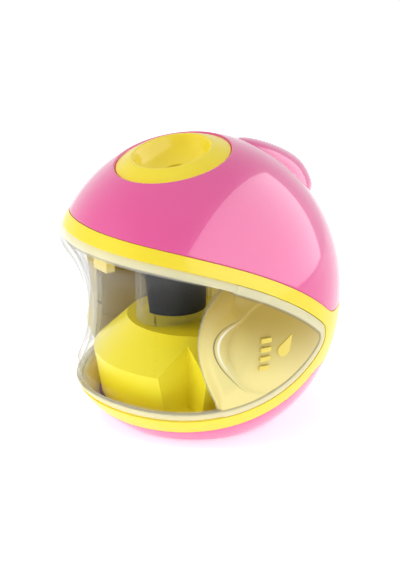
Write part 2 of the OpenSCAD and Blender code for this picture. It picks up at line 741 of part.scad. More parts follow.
// ---- Battery bay ----
module bay_box(g, z0, z1) slab(-bay_half - g, bay_half + g, -bay_side - g, bay_side + g, z0, z1);
module battery_tray() color("#3a3a3c") placed() {
    difference() {
        bay_box(bay_wall, tray_foot_z, bay_roof_z + bay_wall);
        bay_box(0, -far, bay_roof_z);
        for (s = [-1, 1]) translate([s * tray_post_x, 0, bay_roof_z - 1]) disc(screw_r, 10);
    }
    difference() {
        for (s = [-1, 1]) translate([s * tray_post_x, 0, bay_roof_z + bay_wall])
            disc(post_r + 1, chute_top_z - chute_t - bay_roof_z - bay_wall);
        for (s = [-1, 1]) translate([s * tray_post_x, 0, bay_roof_z]) disc(screw_r, far);
    }
}
module cell() rotate([0, 90, 0]) {
    translate([0, 0, -cell_len / 2]) disc(cell_r, cell_len - 1);
    translate([0, 0, cell_len / 2 - 1]) disc(1.9, 1);
}
module battery_cell_front() color("slategray") placed()
    translate([bay_half - plate_thin - cell_len / 2, -cell_y, cell_z]) cell();
module battery_cell_rear() color("slategray") placed()
    translate([plate_thin - bay_half + cell_len / 2, cell_y, cell_z]) rotate(180) cell();
module contact_springs() color("silver") placed() {
    for (s = [-1, 1]) translate([s * (bay_half - plate_thin), s * cell_y, cell_z]) rotate([0, -s * 90, 0])
        coil(2.4, coil_wire, spring_room, 2);
}
module contact_plates() color("silver") placed() for (x = [-bay_half, bay_half - plate_thin])
    slab(x, x + plate_thin, -2 * cell_r, 2 * cell_r, cell_z - 3.5, cell_z + 3.5);

module cap_tabs(g, z, h) for (s = [0, 180]) rotate(s) intersection() {
    translate([0, 0, z]) difference() {
        disc(cap_r + 0.7 + g, h);
        translate([0, 0, -1]) disc(cap_r - 1.6 - g, h + 2);
    }
    slab(0, far, -4 - g, 4 + g, -far, far);
}
module battery_cap() color("hotpink") placed() {
    difference() {
        translate([0, 0, -base_h]) disc(cap_r, cap_t);
        translate([0, 0, -base_h - gap]) slab(-9, 9, -1.2, 1.2, 0, 1);
    }
    intersection() {
        cap_tabs(0, -base_h + cap_t, shell_t - cap_t + gap);
        disc_to(cap_r);
    }
    cap_tabs(0, -base_h + shell_t + gap, 1.2);
}
module rubber_feet() color("#303030") translate([0, -middle, 0])
    for (a = [45 : 90 : 315]) rotate(a) translate([cap_r - 5, 0, 0]) disc(3, foot_h);

// ---- Switch ----
module lever_axle(r, w) translate([lever_x, axis_y + w, lever_z]) rotate([90, 0, 0]) disc(r, 2 * w);
module start_switch() color("#28282a") placed() {
    slab(switch_x, switch_x + switch_len, axis_y - 3, axis_y + 3, cover_top, switch_top);
    difference() {
        for (s = [-1, 1]) slab(lever_x - 0.6, lever_x + 0.6, axis_y + min(s * cheek_in, s * cheek_out),
                               axis_y + max(s * cheek_in, s * cheek_out), switch_top, lever_z + 0.7);
        lever_axle(lever_pin_r, 4);
    }
}
module switch_lever() color("silver") placed() difference() {
    union() {
        slab(finger_x - 1.5, lever_x, axis_y - cheek_in + gap, axis_y + cheek_in - gap,
             lever_z - lever_t / 2, lever_z + lever_t / 2);
        lever_axle(0.8, cheek_in - gap);
    }
    lever_axle(lever_pin_r + fit, 4);
}
module lever_pin() color("silver") placed() lever_axle(lever_pin_r, cheek_out);

// ---- Fasteners ----
module shell_screws() color("silver") placed() at_shell_bosses()
    translate([0, 0, belt_top_z - plate_t - head_t]) screw(plate_t + 9);
module base_screws() color("silver") placed() at_base_bosses()
    translate([0, 0, belt_low_z - 4 - head_t]) screw(4 + 2.5);
module gearbox_screws() color("silver") placed() for (p = cover_posts)
    translate([p.x, p.y, cover_top + head_t]) mirror([0, 0, 1]) screw(plate_t + gear_room + plate_t);
module tray_screws() color("silver") placed() for (s = [-1, 1])
    translate([s * tray_post_x, 0, bay_roof_z - head_t]) screw(8);

upper_shell();
belt_frame();
lower_shell();
rear_spoiler();
pencil_funnel();
funnel_spring();
gear_cover();
gear_deck();
cutter_spindle();
cutter_gear();
middle_gear();
middle_axle();
motor_pinion();
motor_shaft();
motor_can();
motor_end_cap();
motor_screws();
cutter_block();
cutter_blade();
blade_screw();
cutter_guard();
inner_chassis();
shavings_chute();
battery_tray();
battery_cell_front();
battery_cell_rear();
contact_springs();
contact_plates();
battery_cap();
rubber_feet();
start_switch();
switch_lever();
lever_pin();
shavings_tub();
grip_marks();
tub_latch();
shell_screws();
base_screws();
gearbox_screws();
tray_screws();
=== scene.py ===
"""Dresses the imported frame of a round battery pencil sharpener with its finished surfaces.

Lengths are in millimetres inside this file and become metres as points are placed. Heights are
above the body's widest ring and places are about its centre, as in the part's own source. Angles
run from the front towards the right, in radians.
"""

from __future__ import annotations

import logging
import math
from dataclasses import dataclass, field
from enum import Enum
from typing import Any, Callable

import bmesh
import bpy
from mathutils import Matrix, Vector


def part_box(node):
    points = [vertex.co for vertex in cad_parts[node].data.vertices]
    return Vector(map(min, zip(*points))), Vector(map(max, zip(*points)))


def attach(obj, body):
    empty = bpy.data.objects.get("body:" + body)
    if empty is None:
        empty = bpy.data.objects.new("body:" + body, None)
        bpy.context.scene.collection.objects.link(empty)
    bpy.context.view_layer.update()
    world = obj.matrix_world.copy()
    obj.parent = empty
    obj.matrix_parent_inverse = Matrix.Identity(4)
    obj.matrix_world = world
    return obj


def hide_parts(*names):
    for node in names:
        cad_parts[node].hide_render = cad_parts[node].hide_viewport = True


LOG = logging.getLogger("sharpener")
MM = 0.001
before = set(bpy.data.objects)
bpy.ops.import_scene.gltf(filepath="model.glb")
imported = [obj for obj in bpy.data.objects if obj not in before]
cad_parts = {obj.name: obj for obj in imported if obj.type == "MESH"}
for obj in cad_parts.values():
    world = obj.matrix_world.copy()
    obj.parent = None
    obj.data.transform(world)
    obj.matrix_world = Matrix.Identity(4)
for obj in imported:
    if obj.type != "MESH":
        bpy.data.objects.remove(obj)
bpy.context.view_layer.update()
CAP_LOW, CAP_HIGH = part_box("battery_cap")
# Depth of the battery cap's lowest face below the widest ring, in millimetres.
BASE_DEPTH = 40.6
CENTRE = Vector((0.0, (CAP_LOW.y + CAP_HIGH.y) / 2.0, CAP_LOW.z + BASE_DEPTH * MM))

# Anything shorter than this, or an angle below it, counts as nothing.
TINY = 1e-6
# Times that a search halves its range.
HALVINGS = 26
# New points on each stretch of a smooth curve, and cells round a turned form.
CURVE_STEPS = 5
ROUND_STEPS = 96
# Points nearer than this are one, and an edge shorter than the sliver is dropped, in millimetres.
MERGE_MM = 0.01
SLIVER_MM = 0.005
# Edges sharper than this many degrees are eased, in this many steps.
EASED_ANGLE = 50.0
EASED_STEPS = 3


def at(x: float, y: float, z: float) -> Vector:
    """Turns millimetres about the widest ring's centre into a point of the frame, in metres."""
    return CENTRE + Vector((x, y, z)) * MM


def from_centre(point: Vector) -> Vector:
    """Turns a point of the frame, in metres, back into millimetres about the widest ring's centre."""
    return (point - CENTRE) / MM


def smooth_step(low: float, high: float, value: float) -> float:
    """Rises smoothly from 0 at low to 1 at high."""
    t = min(1.0, max(0.0, (value - low) / (high - low)))
    return t * t * (3.0 - 2.0 * t)


def soft_min(a: float, b: float, width: float) -> float:
    """Gives the smaller value, with the corner between the two rounded over width."""
    h = max(0.0, width - abs(a - b)) / width
    return min(a, b) - h * h * width / 4.0


def soft_max(a: float, b: float, width: float) -> float:
    """Gives the larger value, with the corner between the two rounded over width."""
    return -soft_min(-a, -b, width)


def solve(function: Callable[[float], float], low: float, high: float) -> float:
    """Finds where a function changes sign.

    Args:
        function: A function with one sign at low and the other at high.
        low: One end of the search.
        high: The other end.

    Returns:
        The place of the change, to well under a hundredth of a millimetre.
    """
    sign = function(low) > 0.0
    for _ in range(HALVINGS):
        middle = (low + high) / 2.0
        if (function(middle) > 0.0) == sign:
            low = middle
        else:
            high = middle
    return (low + high) / 2.0


@dataclass(frozen=True)
class Circle:
    """A circle in the side view, where the first axis is Y and the second is Z."""

    y: float
    z: float
    r: float

    def distance(self, y: float, z: float) -> float:
        """Distance from the centre to a point."""
        return math.hypot(y - self.y, z - self.z)

    def top(self, y: float) -> float:
        """Height of the circle's upper half at y."""
        return self.z + math.sqrt(max(0.0, self.r**2 - (y - self.y) ** 2))

    def bottom(self, y: float) -> float:
        """Height of the circle's lower half at y."""
        return self.z - math.sqrt(max(0.0, self.r**2 - (y - self.y) ** 2))

    def grown(self, by: float) -> "Circle":
        """The same circle with so much added to its radius."""
        return Circle(self.y, self.z, self.r + by)


@dataclass(frozen=True)
class RoundBody:
    """The round outline and the curved seams that all the outer pieces share."""

    # The widest ring, the dome's rise over it and the flat foot's depth under it.
    radius: float = 45.0
    dome: float = 47.8
    base: float = BASE_DEPTH
    # Depth at which the bowl's curve would close, and its power, where 2 is an ellipse.
    depth: float = 48.51
    fullness: float = 2.12
    # Edges of the upper and lower shells over and under the visor, and their levels at the back.
    brow: Circle = Circle(-54.83, -91.88, 119.0)
    chin: Circle = Circle(-28.41, 41.94, 78.0)
    upper_level: float = -3.0
    lower_level: float = -20.0
    # No seam is higher than this.
    seam_limit: float = 40.0
    # Radius that eases the upper edge into its level stretch.
    ease: float = 12.0
    # Widths of the belt's rims over and under the visor, and the rounding of the visor's rear corner.
    rim_top: float = 4.2
    rim_low: float = 5.3
    corner_r: float = 6.0
    wall: float = 2.2

    def radius_at(self, z: float) -> float:
        """Works out the radius of the outline.

        Args:
            z: Height, in millimetres.

        Returns:
            The radius at that height.
        """
        if z >= 0.0:
            return self.radius * math.sqrt(max(0.0, 1.0 - (z / self.dome) ** 2))
        share = min(1.0, -z / self.depth) ** self.fullness
        return self.radius * (1.0 - share) ** (1.0 / self.fullness)

    def upper_seam(self, y: float) -> float:
        """Works out the height of the upper shell's edge, seen from the side.

        Args:
            y: Place in the side view.

        Returns:
            The height: along the brow, then eased into the level stretch round the back.
        """
        ease_z = self.upper_level + self.ease
        reach = math.sqrt((self.brow.r + self.ease) ** 2 - (ease_z - self.brow.z) ** 2)
        ease_y = self.brow.y + reach
        touch = self.brow.y + reach * self.brow.r / (self.brow.r + self.ease)
        if y < touch:
            return self.brow.top(y)
        if y < ease_y:
            return ease_z - math.sqrt(self.ease**2 - (y - ease_y) ** 2)
        return self.upper_level

    def lower_seam(self, y: float) -> float:
        """Height of the lower shell's edge, seen from the side."""
        return min(self.lower_level, self.chin.bottom(y))

    def on_seam(self, seam: Callable[[float], float], turn: float) -> Vector:
        """Finds the point of a seam at an angle round the body.

        Args:
            seam: Height of the seam for a place y in the side view.
            turn: Angle from the front, in radians.

        Returns:
            The point, in millimetres.
        """
        side = math.cos(turn)
        z = solve(lambda h: h - seam(-self.radius_at(h) * side), -self.base, self.seam_limit)
        return self.point(turn, z)

    def point(self, turn: float, z: float) -> Vector:
        """The point of the outline at an angle and a height, in millimetres."""
        r = self.radius_at(z)
        return Vector((r * math.sin(turn), -r * math.cos(turn), z))

    def on_side(self, y: float, z: float) -> Vector:
        """The right-hand point of the outline at a place in the side view, in millimetres."""
        return Vector((math.sqrt(max(0.0, self.radius_at(z) ** 2 - y * y)), y, z))

    def side_turn(self, y: float, z: float) -> float:
        """Angle from the front of the right-hand point at a place in the side view."""
        return math.atan2(self.on_side(y, z).x, -y)

    def across(self, a: Vector, b: Vector, share: float) -> Vector:
        """Goes part of the way from one point of the outline to another along it.

        Args:
            a: First point, in millimetres.
            b: Second point, in millimetres.
            share: 0 at a and 1 at b.

        Returns:
            The point between them, on the outline.
        """
        ua, ub = (self._direction(p) for p in (a, b))
        angle = ua.angle(ub, 0.0)
        if angle < TINY:
            return a.copy()
        mix = (ua * math.sin((1 - share) * angle) + ub * math.sin(share * angle)) / math.sin(angle)
        z = self.dome * mix.z
        flat = math.hypot(mix.x, mix.y)
        if flat <= TINY:
            return Vector((0.0, 0.0, z))
        r = self.radius_at(z)
        return Vector((r * mix.x / flat, r * mix.y / flat, z))

    def _direction(self, p: Vector) -> Vector:
        """Finds where a point of the outline lies on a unit ball.

        Args:
            p: The point, in millimetres.

        Returns:
            Its direction, with the dome's height drawn in to the ball's.
        """
        flat = math.hypot(p.x, p.y)
        lift = p.z / self.dome
        level = math.sqrt(max(0.0, 1.0 - lift * lift))
        return Vector((p.x / flat * level, p.y / flat * level, lift)) if flat > TINY else Vector((0, 0, 1))

    def corner(self) -> Circle:
        """Fits the small circle that rounds the visor's rear corner.

        Returns:
            The circle, which touches the visor's upper and lower edges from inside.
        """
        a = Vector((self.brow.y, self.brow.z))
        b = Vector((self.chin.y, self.chin.z))
        ra = self.brow.r - self.rim_top - self.corner_r
        rb = self.chin.r - self.rim_low - self.corner_r
        d = (b - a).length
        u = (b - a) / d
        x = (d * d + ra * ra - rb * rb) / (2.0 * d)
        h = math.sqrt(ra * ra - x * x)
        place = a + u * x + Vector((u.y, -u.x)) * h
        return Circle(place.x, place.y, self.corner_r)

    def visor_top(self) -> Circle:
        """The circle of the visor's upper edge."""
        return self.brow.grown(-self.rim_top)

    def visor_low(self) -> Circle:
        """The circle of the visor's lower edge."""
        return self.chin.grown(-self.rim_low)

    def inside_visor(self, y: float, z: float) -> float:
        """Measures how far inside the visor a place in the side view is.

        Args:
            y: The place's first measure.
            z: Its height.

        Returns:
            Distance to the visor's edge, in millimetres, negative outside.
        """
        corner = self.corner()
        out_top = math.atan2(corner.z - self.brow.z, corner.y - self.brow.y)
        out_low = math.atan2(corner.z - self.chin.z, corner.y - self.chin.y)
        turn = math.atan2(z - corner.z, y - corner.y)
        if out_low < turn < out_top:
            return corner.r - corner.distance(y, z)
        top, low = self.visor_top(), self.visor_low()
        return min(top.r - top.distance(y, z), low.r - low.distance(y, z))


def linear(hex_colour: str) -> tuple[float, float, float, float]:
    """Turns an sRGB colour into the linear colour that shaders take.

    Args:
        hex_colour: The colour, such as "#ffcc00".

    Returns:
        Its linear red, green, blue and alpha.
    """
    parts = [int(hex_colour[i : i + 2], 16) / 255.0 for i in (1, 3, 5)]
    r, g, b = (c / 12.92 if c <= 0.04045 else ((c + 0.055) / 1.055) ** 2.4 for c in parts)
    return (r, g, b, 1.0)


def add_node(
    tree: bpy.types.NodeTree,
    kind: str,
    settings: dict[str, Any] | None = None,
    links: dict[Any, bpy.types.NodeSocket] | None = None,
) -> bpy.types.Node:
    """Adds one node to a tree.

    Args:
        tree: The tree to add to.
        kind: The node's type name.
        settings: Properties by name, or input values by the socket's name or "#" and its number.
        links: Sockets to feed in, by the input's name or number.

    Returns:
        The new node.
    """
    node = tree.nodes.new(kind)
    for name, value in (settings or {}).items():
        if name.startswith("#"):
            node.inputs[int(name[1:])].default_value = value
        elif hasattr(node, name):
            setattr(node, name, value)
        else:
            node.inputs[name].default_value = value
    for name, socket in (links or {}).items():
        tree.links.new(socket, node.inputs[name])
    return node


def repeats(size_mm: float) -> float:
    """How often a pattern of a size in millimetres repeats in a metre, as a texture's scale says it."""
    return 1.0 / (size_mm * MM)


def empty_material(name: str) -> tuple[bpy.types.Material, bpy.types.NodeTree]:
    """Makes a material with an empty node tree.

    Args:
        name: The material's name.

    Returns:
        The material and its tree.
    """
    material = bpy.data.materials.new(name)
    material.use_nodes = True
    material.node_tree.nodes.clear()
    return material, material.node_tree


@dataclass(frozen=True)
class Surface:
    """A named surface, whose material is made once and shared by the pieces that have it."""

    name: str

    def material(self) -> bpy.types.Material:
        """Gives the surface's material, which is made at the first call."""
        return bpy.data.materials.get(self.name) or self.make()

    def make(self) -> bpy.types.Material:
        """Makes the material, which each kind of surface does in its own way."""
        raise NotImplementedError(self.name)


@dataclass(frozen=True)
class Finish(Surface):
    """A moulded or metal surface: its colour in soft patches, its gloss and its fine grain.

    The real grain of these surfaces is a few hundredths of a millimetre, too fine to show. It is
    drawn as coarse as grain_mm, so that it still breaks up the light.
    """

    colour: str
    tone: str
    roughness: float = 0.3
    uneven: float = 0.15
    metallic: float = 0.0
    coat: float = 0.0
    coat_roughness: float = 0.05
    ior: float = 1.5
    patch_mm: float = 14.0
    grain_mm: float = 0.6
    grain_depth_mm: float = 0.004
    grain_strength: float = 0.4
    stretch: tuple[float, float, float] = (1.0, 1.0, 1.0)

    def make(self) -> bpy.types.Material:
        """Makes the finish's material.

        Returns:
            The material.
        """
        material, tree = empty_material(self.name)
        place = add_node(tree, "ShaderNodeTexCoord").outputs["Object"]
        stretched = add_node(tree, "ShaderNodeMapping", {"Scale": self.stretch}, {"Vector": place})
        patch = add_node(
            tree,
            "ShaderNodeTexNoise",
            {"Scale": repeats(self.patch_mm), "Detail": 2.0},
            {"Vector": stretched.outputs[0]},
        )
        grain = add_node(
            tree,
            "ShaderNodeTexNoise",
            {"Scale": repeats(self.grain_mm), "Detail": 3.0},
            {"Vector": stretched.outputs[0]},
        )
        colour = add_node(
            tree,
            "ShaderNodeMix",
            {"data_type": "RGBA", "#6": linear(self.colour), "#7": linear(self.tone)},
            {0: patch.outputs[0]},
        )
        rough = add_node(
            tree,
            "ShaderNodeMapRange",
            {
                "To Min": self.roughness * (1.0 - self.uneven),
                "To Max": self.roughness * (1.0 + self.uneven),
            },
            {"Value": grain.outputs[0]},
        )
        bump = add_node(
            tree,
            "ShaderNodeBump",
            {"Strength": self.grain_strength, "Distance": self.grain_depth_mm * MM},
            {"Height": grain.outputs[0]},
        )
        surface = add_node(
            tree,
            "ShaderNodeBsdfPrincipled",
            {
                "Metallic": self.metallic,
                "IOR": self.ior,
                "Coat Weight": self.coat,
                "Coat Roughness": self.coat_roughness,
            },
            {"Base Color": colour.outputs[2], "Roughness": rough.outputs[0], "Normal": bump.outputs[0]},
        )
        add_node(tree, "ShaderNodeOutputMaterial", {}, {"Surface": surface.outputs[0]})
        return material


@dataclass(frozen=True)
class ClearMoulding(Surface):
    """Clear styrene: see-through from the front, with a painted reflection that shows where it is seen along
    its wall.
    """

    colour: str
    slant_reflection_colour: str
    opacity: float
    edge_opacity: float
    edge_power: float = 3.0
    roughness: float = 0.06
    ior: float = 1.4

    def make(self) -> bpy.types.Material:
        """Makes the clear material.

        Returns:
            The material.
        """
        material, tree = empty_material(self.name)
        facing = add_node(tree, "ShaderNodeLayerWeight", {"Blend": 0.5}).outputs["Facing"]
        edge = add_node(tree, "ShaderNodeMath", {"operation": "POWER", "#1": self.edge_power}, {0: facing})
        opacity = add_node(
            tree,
            "ShaderNodeMapRange",
            {"To Min": self.opacity, "To Max": self.edge_opacity},
            {"Value": edge.outputs[0]},
        )
        # Painted reflection: the colour turns to the slant colour where the wall is seen along itself.
        colour = add_node(
            tree,
            "ShaderNodeMix",
            {"data_type": "RGBA", "#6": linear(self.colour), "#7": linear(self.slant_reflection_colour)},
            {0: edge.outputs[0]},
        )
        surface = add_node(
            tree,
            "ShaderNodeBsdfPrincipled",
            {"Roughness": self.roughness, "IOR": self.ior},
            {"Base Color": colour.outputs[2], "Alpha": opacity.outputs[0]},
        )
        add_node(tree, "ShaderNodeOutputMaterial", {}, {"Surface": surface.outputs[0]})
        return material


@dataclass(frozen=True)
class Crescent:
    """A thin band of painted light along the front edge of a finger dish, where the moulding's lip shades and
    catches the light.
    """

    colour: str
    # How far inside the dish's edge it runs, and half of its width, in millimetres.
    inset: float
    half_width: float
    # Where it begins and where it is full, as shares of the dish's radius, negative before its middle.
    begins: float
    full: float = -0.98

    def share(self, tree: bpy.types.NodeTree, dish: Circle) -> bpy.types.NodeSocket:
        """Draws the crescent.

        Args:
            tree: The tree to add to.
            dish: The finger dish.

        Returns:
            A socket that is 1 on the crescent and 0 away from it.
        """
        place = add_node(tree, "ShaderNodeTexCoord").outputs["Object"]
        flat = add_node(
            tree, "ShaderNodeVectorMath", {"operation": "MULTIPLY", "#1": (0.0, 1.0, 1.0)}, {0: place}
        )
        offset = add_node(
            tree,
            "ShaderNodeVectorMath",
            {"operation": "SUBTRACT", "#1": tuple(at(0.0, dish.y, dish.z))},
            {0: flat.outputs[0]},
        ).outputs[0]
        reach = add_node(tree, "ShaderNodeVectorMath", {"operation": "LENGTH"}, {0: offset})
        apart = add_node(
            tree,
            "ShaderNodeMath",
            {"operation": "SUBTRACT", "#1": (dish.r - self.inset) * MM},
            {0: reach.outputs["Value"]},
        )
        width = add_node(tree, "ShaderNodeMath", {"operation": "ABSOLUTE"}, {0: apart.outputs[0]})
        behind = add_node(tree, "ShaderNodeSeparateXYZ", {}, {0: offset}).outputs["Y"]
        band, along = (
            add_node(
                tree,
                "ShaderNodeMapRange",
                {"interpolation_type": "SMOOTHSTEP", "From Min": begin * MM, "From Max": end * MM},
                {"Value": measure},
            ).outputs[0]
            for begin, end, measure in (
                (self.half_width, 0.0, width.outputs[0]),
                (dish.r * self.begins, dish.r * self.full, behind),
            )
        )
        return add_node(tree, "ShaderNodeMath", {"operation": "MULTIPLY"}, {0: band, 1: along}).outputs[0]


@dataclass(frozen=True)
class TubPlastic(Surface):
    """Clear styrene of the tub, bare in the window, frosted on the wings, polished on the bead, with painted
    shade and highlights.
    """

    dish: Circle
    # Bare window, with a painted grey reflection that shows most where it is seen along its wall.
    window: str = "#dfe2e6"
    window_slant_reflection: str = "#80868c"
    window_opacity: float = 0.0
    veil_opacity: float = 0.8
    veil_power: float = 4.0
    # Frosted wings: painted shade at the top, a painted reflection at the foot, a painted sheen at a slant.
    wing_painted_shade_top: str = "#b59a3c"
    wing_painted_highlight_foot: str = "#f8eb9c"
    wing_edge: str = "#dcc98a"
    wing_opacity: float = 0.88
    edge_power: float = 2.6
    # Polished bead, painted paler as a highlight, and the groove inside it, drawn as a line of painted shade.
    bead: str = "#f4eec4"
    bead_opacity: float = 0.78
    line: str = "#7d745c"
    line_opacity: float = 0.8
    # The lip of the finger dish: its painted shadow and its painted highlight.
    painted_lip_marks: tuple[Crescent, ...] = (
        Crescent("#77705a", 0.2, 0.25, -0.45),
        Crescent("#fffef0", 1.0, 0.4, -0.7),
    )
    roughness: float = 0.18
    ior: float = 1.4

    def make(self) -> bpy.types.Material:
        """Makes the tub's material from the marks on its mesh.

        Returns:
            The material.
        """
        material, tree = empty_material(self.name)
        bead, wing, shade, line = (
            add_node(tree, "ShaderNodeAttribute", {"attribute_name": name}).outputs["Fac"]
            for name in ("bead", "wing", "shade", "line")
        )
        facing = add_node(tree, "ShaderNodeLayerWeight", {"Blend": 0.5}).outputs["Facing"]
        edge, veil = (
            add_node(tree, "ShaderNodeMath", {"operation": "POWER", "#1": power}, {0: facing}).outputs[0]
            for power in (self.edge_power, self.veil_power)
        )
        # The window's grey at a slant is a painted reflection; the wing's dark top is painted shade and its
        # pale foot a painted reflection.
        window, wing_with_painted_light = (
            add_node(
                tree,
                "ShaderNodeMix",
                {"data_type": "RGBA", "#6": linear(low), "#7": linear(high)},
                {0: share},
            ).outputs[2]
            for share, low, high in (
                (edge, self.window, self.window_slant_reflection),
                (shade, self.wing_painted_highlight_foot, self.wing_painted_shade_top),
            )
        )
        # Painted sheen on the wing where it is seen along its wall.
        side = add_node(
            tree, "ShaderNodeMix", {"data_type": "RGBA", "#7": linear(self.wing_edge)}, {0: edge, 6: wing_with_painted_light}
        )
        colour = add_node(
            tree, "ShaderNodeMix", {"data_type": "RGBA"}, {0: wing, 6: window, 7: side.outputs[2]}
        ).outputs[2]
        # The bead is painted paler as a highlight, the groove as a line of painted shade, and the dish's lip
        # with painted shadow and highlight.
        marks = [(bead, self.bead), (line, self.line)]
        marks += [(crescent.share(tree, self.dish), crescent.colour) for crescent in self.painted_lip_marks]
        for share, tint in marks:
            colour = add_node(
                tree, "ShaderNodeMix", {"data_type": "RGBA", "#7": linear(tint)}, {0: share, 6: colour}
            ).outputs[2]
        opacity = add_node(
            tree, "ShaderNodeMix", {"#2": self.window_opacity, "#3": self.veil_opacity}, {0: veil}
        ).outputs[0]
        for share, level in ((wing, self.wing_opacity), (bead, self.bead_opacity), (line, self.line_opacity)):
            opacity = add_node(tree, "ShaderNodeMix", {"#3": level}, {0: share, 2: opacity}).outputs[0]
        surface = add_node(
            tree,
            "ShaderNodeBsdfPrincipled",
            {"Roughness": self.roughness, "IOR": self.ior},
            {"Base Color": colour, "Alpha": opacity},
        )
        add_node(tree, "ShaderNodeOutputMaterial", {}, {"Surface": surface.outputs[0]})
        return material


# Injection-moulded ABS from a polished tool: strong plain colour under a clear gloss.
PINK = Finish(
    "moulded_pink_abs",
    "#e44492",
    "#e64a96",
    roughness=0.24,
    coat=0.9,
    coat_roughness=0.04,
    grain_depth_mm=0.001,
)
# The same ABS from a satin tool: a broader, softer shine.
YELLOW = Finish(
    "moulded_yellow_abs", "#fae42e", "#f5dc26", roughness=0.3, coat=0.3, ior=1.4, grain_depth_mm=0.001
)
# Injection-moulded styrene, as it comes from the tool: bright, clean and evenly satin.
CHUTE = Finish("moulded_lemon_styrene", "#fff23a", "#fdec2c", roughness=0.3, grain_depth_mm=0.001)
# Moulded ABS with carbon black, from a grained tool: nearly no shine.
BLACK = Finish("moulded_black_abs", "#0c0c0d", "#121214", roughness=0.5, patch_mm=6.0, ior=1.15)
# Moulded acetal of gears: off-white and waxy.
WHITE = Finish("moulded_white_pom", "#ecebe6", "#dedcd4", roughness=0.4, patch_mm=8.0)
# Moulded styrene of the parts inside: pale and satin.
CREAM = Finish("moulded_cream_styrene", "#efdd7c", "#e6d370", roughness=0.35, patch_mm=10.0)
# Raised marks moulded on the wings, with a polished face: a little brighter than the frosted wing.
GRIP = Finish("moulded_yellow_marks", "#ecd650", "#e4cc48", roughness=0.3, coat=0.6)
# Drawn steel sheet, lightly brushed by its rolling: soft streaks along the can.
TIN = Finish(
    "rolled_tin_plate",
    "#c8c9cc",
    "#b4b6ba",
    roughness=0.28,
    metallic=1.0,
    patch_mm=5.0,
    stretch=(1.0, 1.0, 0.1),
)
# Ground carbon steel: fine straight grinding marks and a cool shine.
GROUND_STEEL = Finish(
    "ground_blade_steel",
    "#d4d8de",
    "#bcc2ca",
    roughness=0.2,
    metallic=1.0,
    patch_mm=3.0,
    stretch=(1.0, 1.0, 8.0),
)
# Zinc-plated steel of small screws and springs: slightly mottled and dull.
PLATED = Finish("zinc_plated_steel", "#b9bbbd", "#a4a6a8", roughness=0.33, metallic=1.0, patch_mm=2.0)
# Turned brass of the pinion: warm and bright.
BRASS = Finish("turned_brass", "#d9b45c", "#c79f48", roughness=0.24, metallic=1.0, patch_mm=2.0)
# Plain plastic sleeve shrunk on a steel cell: satin and one dark blue.
JACKET = Finish("shrunk_cell_jacket", "#3c5a78", "#44648a", roughness=0.3, coat=0.5, patch_mm=12.0)
# Moulded nitrile rubber: dark, with a dull bloom.
RUBBER = Finish("moulded_rubber", "#2b2b2c", "#343435", roughness=0.75, patch_mm=4.0, grain_depth_mm=0.02)
# Clear styrene of the cutter's guard, with a painted reflection that shows bright where the wall is seen
# along itself.
GUARD = ClearMoulding("clear_styrene_guard", "#dfe2e6", "#c9cdd3", 0.02, 0.35)


def new_piece(
    name: str, bm: bmesh.types.BMesh, material: bpy.types.Material, body: str
) -> bpy.types.Object:
    """Makes an object of a bmesh, smooth all over, and hangs it on its body.

    Args:
        name: The piece's name.
        bm: Its mesh, which is used up.
        material: Its material.
        body: The moving body that it rides on.

    Returns:
        The new object, in the scene.
    """
    mesh = bpy.data.meshes.new(name)
    bm.to_mesh(mesh)
    bm.free()
    mesh.shade_smooth()
    mesh.materials.append(material)
    piece = bpy.data.objects.new(name, mesh)
    bpy.context.scene.collection.objects.link(piece)
    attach(piece, body)
    return piece


def give_wall(piece: bpy.types.Object, wall_mm: float, edge_mm: float, even: bool = True) -> None:
    """Gives a skin its thickness inwards and eases its edges.

    Args:
        piece: The skin, with its faces pointing out.
        wall_mm: Thickness of the wall.
        edge_mm: Radius of the eased edges.
        even: Whether the wall keeps its thickness across bends.
    """
    wall = piece.modifiers.new("wall", "SOLIDIFY")
    wall.thickness = wall_mm * MM
    wall.offset = -1.0
    wall.use_even_offset = even
    ease_edges(piece, edge_mm)


def ease_edges(piece: bpy.types.Object, edge_mm: float) -> None:
    """Rounds the sharp edges of a piece and keeps its broad faces flat in the light.

    Args:
        piece: The piece.
        edge_mm: Width of the rounding.
    """
    bevel = piece.modifiers.new("eased_edges", "BEVEL")
    bevel.width = edge_mm * MM
    bevel.segments = EASED_STEPS
    bevel.limit_method = "ANGLE"
    bevel.angle_limit = math.radians(EASED_ANGLE)
    normals = piece.modifiers.new("even_light", "WEIGHTED_NORMAL")
    normals.keep_sharp = True


def skin(
    cells: tuple[int, int], place: Callable[[float, float], Vector], mirror: bool = False
) -> bmesh.types.BMesh:
    """Lays a grid over a surface.

    Args:
        cells: Cells across and up.
        place: Gives the point, in millimetres, for shares across and up from 0 to 1.
        mirror: Whether to add the left-hand half.

    Returns:
        The mesh, in metres, with its faces pointing away from the body's middle.
    """
    bm = bmesh.new()
    bmesh.ops.create_grid(bm, x_segments=cells[0], y_segments=cells[1], size=0.5)
    for vert in bm.verts:
        across, up = (min(1.0, max(0.0, vert.co[i] + 0.5)) for i in (0, 1))
        vert.co = at(*place(across, up))
    if mirror:
        half = bm.verts[:] + bm.edges[:] + bm.faces[:]
        bmesh.ops.mirror(bm, geom=half, axis="X", merge_dist=MERGE_MM * MM)
    bmesh.ops.remove_doubles(bm, verts=bm.verts, dist=MERGE_MM * MM)
    bmesh.ops.dissolve_degenerate(bm, edges=bm.edges, dist=SLIVER_MM * MM)
    bmesh.ops.recalc_face_normals(bm, faces=bm.faces)
    outward = sum(f.normal.dot(f.calc_center_median() - CENTRE) * f.calc_area() for f in bm.faces)
    if outward < 0.0:
        bmesh.ops.reverse_faces(bm, faces=bm.faces)
    return bm


